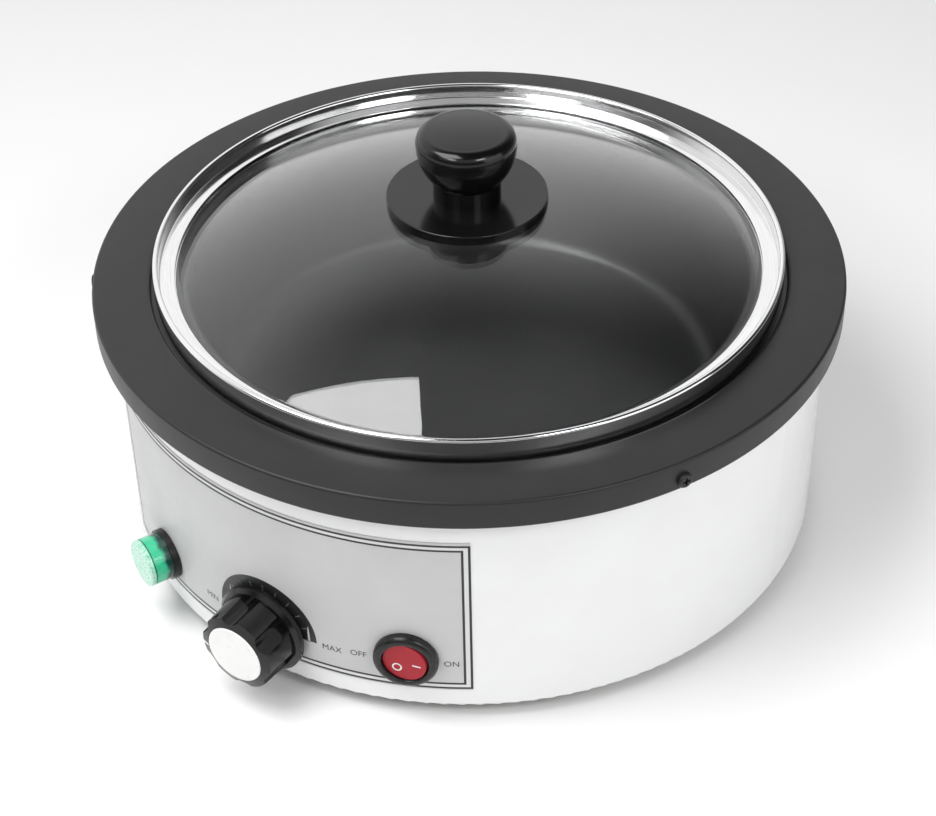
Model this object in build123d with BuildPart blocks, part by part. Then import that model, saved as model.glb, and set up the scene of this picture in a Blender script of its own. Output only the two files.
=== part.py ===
from build123d import *
import os
from math import atan2, cos, degrees, radians, sin, sqrt, tan

os.makedirs("parts", exist_ok=True)

# Round bench-top water bath with a domed glass lid.
# Millimetres. The origin is on the bench, on the drum's axis, and +Z is up.
# Azimuths are in degrees, 0 at the front (-Y, through the dial), growing towards +X.

# Overall sizes
bath_height = 111.0        # bench to the flat top of the collar
pan_mouth_r = 108.0        # the other radii follow from this one
drum_wall = 1.0
drum_bend = 1.5
foot_height = 4.8
base_thick = 1.2

# Collar
collar_shelf = 16.0        # collar's opening to the drum's outside
collar_wall = 6.2          # thickness of the collar's skirt
collar_plate = 2.5
collar_skirt = 12.0        # height of the collar's outer side
collar_edge = 1.2
collar_lip = 2.0
collar_gap = 0.3           # between the collar's skirt and the drum
collar_rib_gap = 0.6       # between the collar's rib and the pan's flange
collar_screw_first = 63.9
collar_screw_count = 3
collar_screw_below_top = 7.7

# Pan
pan_draft = 6.0            # mouth's radius less the floor's
pan_depth = 58.5           # flange to the pan's floor
pan_wall = 1.5
pan_flange = 1.2
pan_flange_inset = 5.5     # drum's outside to the flange's edge
pan_corner = 9.0
pan_mouth_fillet = 3.0
seal_thick = 0.8
seal_width = 6.0
seal_inset = 1.0           # seal's outer edge inside the pan flange's

# Lid
lid_seat_gap = 0.2
lid_side_gap = 1.3         # rim to the collar's opening
rim_outside = 4.0          # glass's edge to the rim's outside
rim_height = 10.1
rim_sheet = 0.5
rim_bead = 1.15            # radius of the rolled bead on top of the rim
rim_cover = 4.3            # how far the rim laps over the glass
rim_lip = 5.0              # and how far its lip reaches under it
glass_shelf = 10.2         # pan's mouth to the glass's edge
glass_thick = 3.0
glass_flat = 5.0           # width of the flat edge round the dome
glass_bend = 5.0           # radius of the bend between them
glass_seat_gap = 0.1       # glass's edge above the rim's lip
dome_r = 249.0
glass_fit = 0.1
glass_edge_gap = 0.2
lid_hole_r = 4.0

# Lid knob
knob_base_r = 31.0
knob_base_above_glass = 1.8
knob_neck_r = 13.0
knob_cap_r = 19.2
knob_neck_height = 6.5
knob_equator = 22.1        # above the knob base's top
knob_under_bulge = 13.2    # height where the underside's two tangents meet
knob_shoulder = 4.5
knob_cap_crown = 1.0
lid_screw_r = 2.5
lid_screw_head_r = 5.0
lid_screw_head = 3.0
lid_screw_length = 21.0
lid_washer_r = 9.0
lid_washer_thick = 1.1
screw_fit = 0.1            # radial gap of a screw in its thread or hole

# Front label
label_left = 37.9          # azimuths of the label's two ends
label_right = 33.35
label_bottom = 15.1
label_top = 87.2
label_thick = 0.25
label_glue = 0.05

# Dial and thermostat
dial_height = 27.8
dial_gap = 1.2             # label to the back of the knob
knob_skirt_r = 18.5
knob_skirt = 3.4
knob_skirt_bevel = 1.4
knob_body_r = 16.1
knob_front_r = 15.6
knob_body = 14.4
knob_front_bevel = 1.2
knob_bevel_gap = 0.2       # bevel to the cap's recess
knob_flutes = 6
knob_flute_r = 5.1
knob_flute_out = 18.7
knob_flute_first = 37.0    # first flute's angle, so that a lobe points at the scale's start
knob_edge = 0.5
cap_r = 12.0
cap_recess = 0.8
cap_thick = 1.2
cap_edge = 0.5
cap_gap = 0.1
shaft_r = 3.0
shaft_flat = 2.0
shaft_fit = 0.05
shaft_length = 28.0
shaft_bore_depth = 9.0     # length of shaft inside the thermostat
bushing_r = 4.8
bushing_out = 3.9          # bushing's reach beyond the drum
bushing_shoulder_r = 7.0
dial_nut_flats = 13.0
dial_nut_thick = 2.2
nut_seat_gap = 0.1
knob_recess_r = 9.5
knob_recess = 3.6
grub_r = 1.5
grub_length = 6.0
grub_slot = 0.6
grub_along = 9.0           # grub screw's distance from the back of the knob
thermostat_w = 38.0
thermostat_h = 24.0
thermostat_d = 26.0
thermostat_gap = 2.3       # drum's inside to the front of the thermostat
thermostat_edge = 2.0

# Sensor
bulb_r = 3.0
bulb_length = 48.0
bulb_tip = 1.5
bulb_front_y = -60.0
bulb_gap = 0.2
capillary_r = 0.8
capillary_bend = 4.0
clip_thick = 0.8
clip_width = 8.0
clip_foot = 7.0
clip_gap = 0.1

# Lamp
lamp_azimuth = -23.6
lamp_height = 27.5
lamp_bezel_r = 10.2
lamp_bezel = 2.6
lamp_barrel_r = 7.9
lamp_barrel = 20.0
lamp_lens_r = 9.4
lamp_lens_height = 9.4
lamp_lens_wall = 1.2
lamp_lens_front = 1.5
lamp_lens_edge = 0.6
lamp_groove_at = 7.1       # groove round the lens, from its back
lamp_groove_w = 0.4
lamp_groove = 0.35
led_r = 2.5
led_height = 5.4
led_edge = 2.0
lamp_nut_flats = 19.0
lamp_nut_thick = 3.0
lamp_tag_w = 2.8
lamp_tag_t = 0.5
lamp_tag_length = 8.0
lamp_tag_out = 4.0

# Rocker switch
switch_azimuth = 23.4
switch_height = 30.3
switch_bezel_r = 12.2
switch_bezel = 3.6
switch_bezel_edge = 2.3
switch_barrel_r = 9.9
switch_barrel = 16.0
switch_well_r = 8.8
switch_well_edge = 0.7
switch_well_depth = 8.5
rocker_r = 8.4
rocker_tilt = 16.0         # full travel, in degrees
rocker_valley = 2.0        # each half's slope when the rocker is level
rocker_below_face = 2.1    # pivot below the bezel's face
rocker_face = 1.2          # pivot to the valley between the halves
rocker_under = 4.5
rocker_pin_r = 1.0
rocker_pin_reach = 9.2
rocker_pin_fit = 0.06
blade_w = 6.3
blade_t = 0.8
blade_length = 9.0
blade_root = 3.0           # blade's length inside the switch
blade_pitch = 7.0
panel_fit = 0.15           # radial gap of a barrel in its panel hole

# Power inlet at the back
inlet_azimuth = 180.0
inlet_height = 50.0
inlet_flange_w = 24.0
inlet_flange_h = 50.0
inlet_flange = 3.0
inlet_flange_corner = 5.0
inlet_gap = 0.1
inlet_body_w = 20.0
inlet_body_h = 27.0
inlet_body_d = 20.0
inlet_cavity_w = 17.0
inlet_cavity_h = 24.0
inlet_cavity_d = 17.0
inlet_corner = 2.0
inlet_screw_pitch = 40.0
inlet_cut_gap = 0.3
inlet_nut_thick = 2.4
pin_long = 4.0
pin_short = 2.0
pin_line_pitch = 14.0
pin_offset = 2.0
pin_out = 14.5
pin_tail = 8.0
pin_fit = 0.05

# Heater stack under the pan
element_ring_r = 70.0
element_tube_r = 3.25
element_half_gap = 22.0    # half the ring's open angle, in degrees
element_bend = 7.0
element_below_shield = 8.6
element_gap = 0.2
element_hole_gap = 0.8
bar_length = 160.0
bar_width = 20.0
bar_thick = 1.5
bar_corner = 5.0
bar_gap = 0.1
pad_thick = 12.6
pad_inset = 8.0            # pan's floor radius less the pad's
shield_gap = 1.0
shield_sheet = 0.8
shield_rim = 12.0
stack_gap = 0.1
stud_r = 3.0
stud_below_shield = 7.6
stud_hole_gap = 0.4
stud_nut_flats = 10.0
stud_nut_thick = 3.4
cutout_x = -32.0
cutout_y = 30.0
cutout_r = 8.0
cutout_height = 5.2
cutout_flange_w = 24.0
cutout_flange_h = 8.0
cutout_blade = 7.0

# Feet, base and small fasteners
foot_r = 11.0
foot_tip_r = 10.0
foot_inset = 25.0          # base plate's edge to a foot's middle
foot_count = 4
foot_recess_r = 4.4
foot_recess = 2.4
foot_screw_r = 2.0
foot_screw_head_r = 3.8
foot_screw_head = 1.6
foot_nut_flats = 7.0
foot_nut_thick = 3.0
foot_screw_past_nut = 1.5
base_inset = 2.5
base_flange_w = 14.0
top_flange_w = 13.5
base_screw_count = 4
base_screw_inset = 8.5
m3_r = 1.5
m3_head_r = 2.9
m3_head = 1.7
m3_dome_edge = 0.8
base_screw_length = 6.0
collar_screw_length = 9.0
cross_w = 0.8
cross_length = 3.2
cross_depth = 0.9
vent_count = 8
vent_circle_r = 72.0
vent_length = 26.0
vent_w = 4.0
block_l = 36.0
block_w = 16.0
block_h = 13.0
block_y = 45.0
block_ways = 3
block_way_pitch = 11.0
block_way_r = 2.2
block_screw_pitch = 11.0
block_edge = 0.8
earth_x = -60.0
earth_y = 60.0
earth_r = 2.0
earth_height = 12.0
earth_nut_flats = 7.0
earth_nut_thick = 3.0

same_size = 0.001          # two lengths that differ by less are the same

# Radii, worked out from the pan's mouth outwards
pan_floor_r = pan_mouth_r - pan_draft
pan_mouth_under_r = pan_mouth_r + pan_wall
glass_r = pan_mouth_r + glass_shelf
rim_r = glass_r + rim_outside
rim_inner_r = glass_r - rim_cover
rim_lip_r = glass_r - rim_lip
dome_foot_r = glass_r - glass_flat
collar_opening_r = rim_r + lid_side_gap
drum_r = collar_opening_r + collar_shelf
drum_in = drum_r - drum_wall
collar_r = drum_r + collar_gap + collar_wall
pan_flange_r = drum_r - pan_flange_inset
collar_rib_r = pan_flange_r + collar_rib_gap
label_in = drum_r + label_glue
label_out = label_in + label_thick
base_r = drum_r - base_inset
base_screw_circle_r = drum_r - base_screw_inset
foot_circle_r = base_r - foot_inset
pad_r = pan_floor_r - pad_inset
shield_r = pad_r + shield_gap + shield_sheet

# Levels, worked out from the bench upwards
base_bottom = foot_height
drum_bottom = base_bottom + base_thick
collar_top = bath_height
ledge = collar_top - collar_plate
pan_flange_bottom = ledge - pan_flange
drum_top = pan_flange_bottom - seal_thick
pan_floor = ledge - pan_depth
pan_under = pan_floor - pan_wall
lid_bottom = ledge + lid_seat_gap
lip_top = lid_bottom + rim_sheet
rim_top = lid_bottom + rim_height
glass_bottom = lip_top + glass_seat_gap
glass_edge_top = glass_bottom + glass_thick
flange_under = glass_edge_top + glass_fit
flange_top = flange_under + rim_sheet
dome_centre = glass_edge_top - sqrt(dome_r**2 - dome_foot_r**2)
glass_top = dome_centre + dome_r
knob_seat = glass_top + knob_base_above_glass
collar_screw_z = collar_top - collar_screw_below_top


def wall_plane(azimuth, height, radius):
    """Plane square to the drum's wall: x to the right seen from outside, y up, z outwards."""
    turn = radians(azimuth)
    return Plane(
        origin=(radius * sin(turn), -radius * cos(turn), height),
        x_dir=(cos(turn), sin(turn), 0),
        z_dir=(sin(turn), -cos(turn), 0),
    )


def turned_edges(part, radius, height):
    """Circular edges round the drum's axis at one radius and height."""
    return part.edges().filter_by(
        lambda edge: edge.geom_type == GeomType.CIRCLE
        and abs(edge.radius - radius) < same_size
        and abs(edge.arc_center.Z - height) < same_size
    )


def corner_at(section, radius, height):
    """Corner of a section that is being drawn, at one radius and height."""
    return section.vertices().sort_by_distance((radius, height))[0]


def dome_z(radius, sphere_r):
    """Height of a sphere about the lid's dome centre, at a distance from the axis."""
    return dome_centre + sqrt(sphere_r**2 - radius**2)


def dome_arc(from_r, to_r, sphere_r):
    """Arc of such a sphere between two distances from the axis."""
    middle = (from_r + to_r) / 2
    ThreePointArc(
        (from_r, dome_z(from_r, sphere_r)),
        (middle, dome_z(middle, sphere_r)),
        (to_r, dome_z(to_r, sphere_r)),
    )


def finish_part(builder, name):
    """Labels a piece and writes its file."""
    builder.part.label = name
    export_step(builder.part, f"parts/{name}.step")


collar_screw_azimuths = [
    collar_screw_first + 360 / collar_screw_count * index for index in range(collar_screw_count)
]
foot_places = [
    (foot_circle_r * cos(radians(45 + 360 / foot_count * index)),
     foot_circle_r * sin(radians(45 + 360 / foot_count * index)))
    for index in range(foot_count)
]
base_screw_places = [
    (base_screw_circle_r * cos(radians(360 / base_screw_count * index)),
     base_screw_circle_r * sin(radians(360 / base_screw_count * index)))
    for index in range(base_screw_count)
]
inlet_screw_places = [(0, inlet_screw_pitch / 2), (0, -inlet_screw_pitch / 2)]
block_screw_places = [(block_screw_pitch / 2, block_y), (-block_screw_pitch / 2, block_y)]

# Drum: one rolled sheet with both edges turned in
with BuildPart() as drum_housing:
    with BuildSketch(Plane.XZ) as drum_section:
        with BuildLine():
            Polyline(
                (drum_r - base_flange_w, drum_bottom),
                (drum_r, drum_bottom),
                (drum_r, drum_top),
                (drum_r - top_flange_w, drum_top),
                (drum_r - top_flange_w, drum_top - drum_wall),
                (drum_in, drum_top - drum_wall),
                (drum_in, drum_bottom + drum_wall),
                (drum_r - base_flange_w, drum_bottom + drum_wall),
                close=True,
            )
        make_face()
        fillet(corner_at(drum_section, drum_r, drum_bottom), drum_bend)
        fillet(corner_at(drum_section, drum_r, drum_top), drum_bend)
        fillet(corner_at(drum_section, drum_in, drum_bottom + drum_wall), drum_bend - drum_wall)
        fillet(corner_at(drum_section, drum_in, drum_top - drum_wall), drum_bend - drum_wall)
    revolve(axis=Axis.Z)
    with BuildSketch(wall_plane(0, dial_height, 0)):
        Circle(bushing_r + panel_fit)
    extrude(amount=drum_r + label_thick, mode=Mode.SUBTRACT)
    with BuildSketch(wall_plane(lamp_azimuth, lamp_height, 0)):
        Circle(lamp_barrel_r + panel_fit)
    extrude(amount=drum_r + label_thick, mode=Mode.SUBTRACT)
    with BuildSketch(wall_plane(switch_azimuth, switch_height, 0)):
        Circle(switch_barrel_r + panel_fit)
    extrude(amount=drum_r + label_thick, mode=Mode.SUBTRACT)
    with BuildSketch(wall_plane(inlet_azimuth, inlet_height, 0)):
        RectangleRounded(
            inlet_body_w + 2 * inlet_cut_gap, inlet_body_h + 2 * inlet_cut_gap, inlet_corner
        )
        with Locations(*inlet_screw_places):
            Circle(m3_r + screw_fit)
    extrude(amount=drum_r + label_thick, mode=Mode.SUBTRACT)
    for azimuth in collar_screw_azimuths:
        with BuildSketch(wall_plane(azimuth, collar_screw_z, 0)):
            Circle(m3_r + screw_fit)
        extrude(amount=drum_r + label_thick, mode=Mode.SUBTRACT)
    with BuildSketch(Plane.XY.offset(drum_bottom)):
        with Locations(*base_screw_places):
            Circle(m3_r + screw_fit)
    extrude(amount=drum_wall, mode=Mode.SUBTRACT)
finish_part(drum_housing, "drum_housing")

# Base plate with cooling slots
with BuildPart() as base_plate:
    with BuildSketch(Plane.XY.offset(base_bottom)):
        Circle(base_r)
        with Locations(*foot_places):
            Circle(foot_screw_r + screw_fit, mode=Mode.SUBTRACT)
        with Locations(*base_screw_places):
            Circle(m3_r + screw_fit, mode=Mode.SUBTRACT)
        with PolarLocations(vent_circle_r, vent_count, start_angle=180 / vent_count):
            SlotOverall(vent_length, vent_w, mode=Mode.SUBTRACT)
        with Locations((earth_x, earth_y)):
            Circle(earth_r + screw_fit, mode=Mode.SUBTRACT)
        with Locations(*block_screw_places):
            Circle(m3_r + screw_fit, mode=Mode.SUBTRACT)
    extrude(amount=base_thick)
finish_part(base_plate, "base_plate")

with BuildPart() as base_screws:
    with BuildSketch(Plane.XY.offset(base_bottom)):
        with Locations(*base_screw_places):
            Circle(m3_head_r)
    extrude(amount=-m3_head)
    with BuildSketch(Plane.XY.offset(base_bottom)):
        with Locations(*base_screw_places):
            Circle(m3_r)
    extrude(amount=base_screw_length)
    fillet(base_screws.edges().group_by(Axis.Z)[0], m3_dome_edge)
    with BuildSketch(Plane.XY.offset(base_bottom - m3_head)):
        with Locations(*base_screw_places):
            Rectangle(cross_w, cross_length)
            Rectangle(cross_length, cross_w)
    extrude(amount=cross_depth, mode=Mode.SUBTRACT)
finish_part(base_screws, "base_screws")

# Feet, screwed on through the base plate
with BuildPart() as rubber_feet:
    with BuildSketch(Plane.XY.offset(foot_height)):
        with Locations(*foot_places):
            Circle(foot_r)
    extrude(amount=-foot_height, taper=degrees(atan2(foot_r - foot_tip_r, foot_height)))
    with BuildSketch(Plane.XY):
        with Locations(*foot_places):
            Circle(foot_screw_r + screw_fit)
    extrude(amount=foot_height, mode=Mode.SUBTRACT)
    with BuildSketch(Plane.XY):
        with Locations(*foot_places):
            Circle(foot_recess_r)
    extrude(amount=foot_recess, mode=Mode.SUBTRACT)
finish_part(rubber_feet, "rubber_feet")

with BuildPart() as foot_screws:
    with BuildSketch(Plane.XY.offset(foot_recess)):
        with Locations(*foot_places):
            Circle(foot_screw_head_r)
    extrude(amount=-foot_screw_head)
    with BuildSketch(Plane.XY.offset(foot_recess)):
        with Locations(*foot_places):
            Circle(foot_screw_r)
    extrude(amount=drum_bottom + foot_nut_thick + foot_screw_past_nut - foot_recess)
    with BuildSketch(Plane.XY.offset(foot_recess - foot_screw_head)):
        with Locations(*foot_places):
            Rectangle(cross_w, cross_length)
            Rectangle(cross_length, cross_w)
    extrude(amount=cross_depth, mode=Mode.SUBTRACT)
finish_part(foot_screws, "foot_screws")

with BuildPart() as foot_nuts:
    with BuildSketch(Plane.XY.offset(drum_bottom)):
        with Locations(*foot_places):
            RegularPolygon(foot_nut_flats / 2, 6, major_radius=False)
            Circle(foot_screw_r + shaft_fit, mode=Mode.SUBTRACT)
    extrude(amount=foot_nut_thick)
finish_part(foot_nuts, "foot_nuts")

# Collar: covers the drum's top edge and clamps the pan's flange
with BuildPart() as collar_ring:
    with BuildSketch(Plane.XZ):
        with BuildLine():
            Polyline(
                (collar_opening_r, ledge),
                (collar_rib_r, ledge),
                (collar_rib_r, drum_top),
                (drum_r + collar_gap, drum_top),
                (drum_r + collar_gap, collar_top - collar_skirt),
                (collar_r, collar_top - collar_skirt),
                (collar_r, collar_top),
                (collar_opening_r, collar_top),
                close=True,
            )
        make_face()
    revolve(axis=Axis.Z)
    fillet(turned_edges(collar_ring, collar_r, collar_top), collar_edge)
    fillet(turned_edges(collar_ring, collar_r, collar_top - collar_skirt), collar_edge)
    fillet(turned_edges(collar_ring, collar_opening_r, collar_top), collar_lip)
    for azimuth in collar_screw_azimuths:
        with BuildSketch(wall_plane(azimuth, collar_screw_z, drum_r)):
            Circle(m3_r + screw_fit)
        extrude(amount=collar_r - drum_r, mode=Mode.SUBTRACT)
finish_part(collar_ring, "collar_ring")

with BuildPart() as collar_screws:
    for azimuth in collar_screw_azimuths:
        with BuildSketch(wall_plane(azimuth, collar_screw_z, collar_r)):
            Circle(m3_head_r)
        extrude(amount=m3_head)
        with BuildSketch(wall_plane(azimuth, collar_screw_z, collar_r)):
            Circle(m3_r)
        extrude(amount=-collar_screw_length)
        head_face = wall_plane(azimuth, collar_screw_z, collar_r + m3_head)
        head_edges = collar_screws.edges().filter_by(
            lambda edge: edge.geom_type == GeomType.CIRCLE
            and (edge.arc_center - head_face.origin).length < same_size
        )
        fillet(head_edges, m3_dome_edge)
        with BuildSketch(head_face):
            Rectangle(cross_w, cross_length)
            Rectangle(cross_length, cross_w)
        extrude(amount=-cross_depth, mode=Mode.SUBTRACT)
finish_part(collar_screws, "collar_screws")

# Water pan, hung by its flange
with BuildPart() as bath_pan:
    with BuildSketch(Plane.XZ) as pan_section:
        with BuildLine():
            Polyline(
                (0, pan_floor),
                (pan_floor_r, pan_floor),
                (pan_mouth_r, ledge),
                (pan_flange_r, ledge),
                (pan_flange_r, pan_flange_bottom),
                (pan_mouth_under_r, pan_flange_bottom),
                (pan_floor_r + pan_wall, pan_under),
                (0, pan_under),
                close=True,
            )
        make_face()
        fillet(corner_at(pan_section, pan_floor_r, pan_floor), pan_corner)
        fillet(corner_at(pan_section, pan_floor_r + pan_wall, pan_under), pan_corner + pan_wall)
        fillet(corner_at(pan_section, pan_mouth_r, ledge), pan_mouth_fillet)
        fillet(
            corner_at(pan_section, pan_mouth_under_r, pan_flange_bottom),
            pan_mouth_fillet - pan_flange,
        )
    revolve(axis=Axis.Z)
finish_part(bath_pan, "bath_pan")

with BuildPart() as pan_seal:
    with BuildSketch(Plane.XY.offset(drum_top)):
        Circle(pan_flange_r - seal_inset)
        Circle(pan_flange_r - seal_inset - seal_width, mode=Mode.SUBTRACT)
    extrude(amount=seal_thick)
finish_part(pan_seal, "pan_seal")

# Heater stack, held up by one stud on the pan
element_z = pan_under - element_gap - element_tube_r
bar_top = element_z - element_tube_r - bar_gap
pad_top = bar_top - bar_thick - stack_gap
pad_bottom = pad_top - pad_thick
shield_bottom = pad_bottom - stack_gap - shield_sheet
stud_end = shield_bottom - stud_below_shield
element_leg_end = shield_bottom - element_below_shield
leg_turn = radians(element_half_gap)
leg_x = element_ring_r * sin(leg_turn) - element_bend * cos(leg_turn)
leg_y = -element_ring_r * cos(leg_turn) - element_bend * sin(leg_turn)
leg_places = [(leg_x, leg_y), (-leg_x, leg_y)]


def leg_point(side, along, down):
    """Point on a leg's bend: along the ring's tangent from its end, and down."""
    return (
        side * (element_ring_r * sin(leg_turn) - along * cos(leg_turn)),
        -element_ring_r * cos(leg_turn) - along * sin(leg_turn),
        element_z - down,
    )


with BuildPart() as heating_element:
    with BuildLine() as element_path:
        Line(
            leg_point(1, element_bend, element_z - element_leg_end),
            leg_point(1, element_bend, element_bend),
        )
        ThreePointArc(
            leg_point(1, element_bend, element_bend),
            leg_point(1, element_bend * sin(radians(45)), element_bend * (1 - cos(radians(45)))),
            leg_point(1, 0, 0),
        )
        ThreePointArc(leg_point(1, 0, 0), (0, element_ring_r, element_z), leg_point(-1, 0, 0))
        ThreePointArc(
            leg_point(-1, 0, 0),
            leg_point(-1, element_bend * sin(radians(45)), element_bend * (1 - cos(radians(45)))),
            leg_point(-1, element_bend, element_bend),
        )
        Line(
            leg_point(-1, element_bend, element_bend),
            leg_point(-1, element_bend, element_z - element_leg_end),
        )
    with BuildSketch(Plane(origin=element_path.line @ 0, z_dir=element_path.line % 0)):
        Circle(element_tube_r)
    sweep()
finish_part(heating_element, "heating_element")

with BuildPart() as pan_stud:
    with BuildSketch(Plane.XY.offset(stud_end)):
        Circle(stud_r)
    extrude(amount=pan_under - stud_end)
finish_part(pan_stud, "pan_stud")

with BuildPart() as heater_bar:
    with BuildSketch(Plane.XY.offset(bar_top)):
        RectangleRounded(bar_length, bar_width, bar_corner)
        Circle(stud_r + stud_hole_gap, mode=Mode.SUBTRACT)
    extrude(amount=-bar_thick)
finish_part(heater_bar, "heater_bar")

with BuildPart() as insulation_pad:
    with BuildSketch(Plane.XY.offset(pad_top)):
        Circle(pad_r)
        Circle(stud_r + stud_hole_gap, mode=Mode.SUBTRACT)
        with Locations(*leg_places):
            Circle(element_tube_r + element_hole_gap, mode=Mode.SUBTRACT)
    extrude(amount=-pad_thick)
finish_part(insulation_pad, "insulation_pad")

with BuildPart() as heat_shield:
    with BuildSketch(Plane.XY.offset(shield_bottom)):
        Circle(shield_r)
    extrude(amount=shield_sheet + shield_rim)
    with BuildSketch(Plane.XY.offset(shield_bottom + shield_sheet)):
        Circle(shield_r - shield_sheet)
    extrude(amount=shield_rim, mode=Mode.SUBTRACT)
    with BuildSketch(Plane.XY.offset(shield_bottom)):
        Circle(stud_r + stud_hole_gap)
        with Locations(*leg_places):
            Circle(element_tube_r + element_hole_gap)
    extrude(amount=shield_sheet, mode=Mode.SUBTRACT)
finish_part(heat_shield, "heat_shield")

with BuildPart() as stud_nut:
    with BuildSketch(Plane.XY.offset(shield_bottom)):
        RegularPolygon(stud_nut_flats / 2, 6, major_radius=False)
        Circle(stud_r + shaft_fit, mode=Mode.SUBTRACT)
    extrude(amount=-stud_nut_thick)
finish_part(stud_nut, "stud_nut")

# Overheat cut-out against the pan's floor
cutout_top = pan_under - clip_gap
with BuildPart() as thermal_cutout:
    with BuildSketch(Plane.XY.offset(cutout_top)):
        with Locations((cutout_x, cutout_y)):
            SlotOverall(cutout_flange_w, cutout_flange_h)
            Circle(cutout_r)
    extrude(amount=-blade_t)
    with BuildSketch(Plane.XY.offset(cutout_top - blade_t)):
        with Locations((cutout_x, cutout_y)):
            Circle(cutout_r)
    extrude(amount=-cutout_height + blade_t)
    with BuildSketch(Plane.XY.offset(cutout_top - cutout_height + blade_t)):
        with Locations((cutout_x, cutout_y)):
            Rectangle(blade_w, 2 * (cutout_r + cutout_blade))
    extrude(amount=-blade_t)
finish_part(thermal_cutout, "thermal_cutout")

# Thermostat: bulb, capillary and the control behind the dial
bulb_z = pan_under - bulb_gap - bulb_r
thermostat_front = drum_in - thermostat_gap
thermostat_mid = thermostat_front - thermostat_d / 2
with BuildPart() as sensor_bulb:
    with BuildSketch(Plane(origin=(0, bulb_front_y, bulb_z), z_dir=(0, 1, 0))):
        Circle(bulb_r)
    extrude(amount=bulb_length)
    fillet(sensor_bulb.edges().group_by(Axis.Y)[-1], bulb_tip)
finish_part(sensor_bulb, "sensor_bulb")

clip_y = bulb_front_y + bulb_length / 2
clip_in = bulb_r + clip_gap
clip_out = clip_in + clip_thick
clip_top = pan_under - clip_gap
with BuildPart() as sensor_clip:
    with BuildSketch(Plane(origin=(0, clip_y - clip_width / 2, 0), x_dir=(-1, 0, 0), z_dir=(0, 1, 0))):
        with BuildLine():
            Line((clip_out + clip_foot, clip_top), (clip_in, clip_top))
            Line((clip_in, clip_top), (clip_in, bulb_z))
            ThreePointArc((clip_in, bulb_z), (0, bulb_z - clip_in), (-clip_in, bulb_z))
            Line((-clip_in, bulb_z), (-clip_in, clip_top))
            Line((-clip_in, clip_top), (-clip_out - clip_foot, clip_top))
            Line((-clip_out - clip_foot, clip_top), (-clip_out - clip_foot, clip_top - clip_thick))
            Line((-clip_out - clip_foot, clip_top - clip_thick), (-clip_out, clip_top - clip_thick))
            Line((-clip_out, clip_top - clip_thick), (-clip_out, bulb_z))
            ThreePointArc((-clip_out, bulb_z), (0, bulb_z - clip_out), (clip_out, bulb_z))
            Line((clip_out, bulb_z), (clip_out, clip_top - clip_thick))
            Line((clip_out, clip_top - clip_thick), (clip_out + clip_foot, clip_top - clip_thick))
            Line((clip_out + clip_foot, clip_top - clip_thick), (clip_out + clip_foot, clip_top))
        make_face()
    extrude(amount=clip_width)
finish_part(sensor_clip, "sensor_clip")

with BuildPart() as thermostat_body:
    with BuildSketch(wall_plane(0, dial_height, thermostat_front)):
        RectangleRounded(thermostat_w, thermostat_h, thermostat_edge)
    extrude(amount=-thermostat_d)
    with BuildSketch(wall_plane(0, dial_height, thermostat_front)):
        Circle(bushing_shoulder_r)
    extrude(amount=sqrt(drum_in**2 - bushing_shoulder_r**2) - nut_seat_gap - thermostat_front)
    with BuildSketch(wall_plane(0, dial_height, thermostat_front)):
        Circle(bushing_r)
    extrude(amount=drum_r + bushing_out - thermostat_front)
    with BuildSketch(wall_plane(0, dial_height, drum_r + bushing_out)):
        Circle(shaft_r + shaft_fit)
    extrude(amount=-(drum_r + bushing_out - thermostat_front + shaft_bore_depth), mode=Mode.SUBTRACT)
    with BuildSketch(wall_plane(0, dial_height, thermostat_front - thermostat_d)):
        with Locations((-blade_pitch, 0), (blade_pitch, 0)):
            Rectangle(blade_t, blade_w)
    extrude(amount=-blade_length)
finish_part(thermostat_body, "thermostat_body")

capillary_end = dial_height + thermostat_h / 2
with BuildPart() as capillary_tube:
    with BuildLine() as capillary_path:
        FilletPolyline(
            (0, bulb_front_y, bulb_z),
            (0, -thermostat_mid, bulb_z),
            (0, -thermostat_mid, capillary_end),
            radius=capillary_bend,
        )
    with BuildSketch(Plane(origin=capillary_path.line @ 0, z_dir=capillary_path.line % 0)):
        Circle(capillary_r)
    sweep()
finish_part(capillary_tube, "capillary_tube")

# Dial
nut_base = label_out + nut_seat_gap
with BuildPart() as dial_nut:
    with BuildSketch(wall_plane(0, dial_height, nut_base)):
        RegularPolygon(dial_nut_flats / 2, 6, major_radius=False)
        Circle(bushing_r + shaft_fit, mode=Mode.SUBTRACT)
    extrude(amount=dial_nut_thick)
finish_part(dial_nut, "dial_nut")

shaft_back = thermostat_front - shaft_bore_depth + clip_gap
knob_back = label_out + dial_gap
knob_front = knob_back + knob_skirt + knob_body
shaft_end = shaft_back + shaft_length
bore_end = shaft_end + screw_fit
with BuildPart() as dial_shaft:
    with BuildSketch(wall_plane(0, dial_height, shaft_back)):
        Circle(shaft_r)
    extrude(amount=shaft_length)
    with BuildSketch(wall_plane(0, dial_height, drum_r + bushing_out)):
        with Locations((0, -shaft_r)):
            Rectangle(2 * shaft_r, 2 * (shaft_r - shaft_flat))
    extrude(amount=shaft_end - drum_r - bushing_out, mode=Mode.SUBTRACT)
finish_part(dial_shaft, "dial_shaft")

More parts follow.
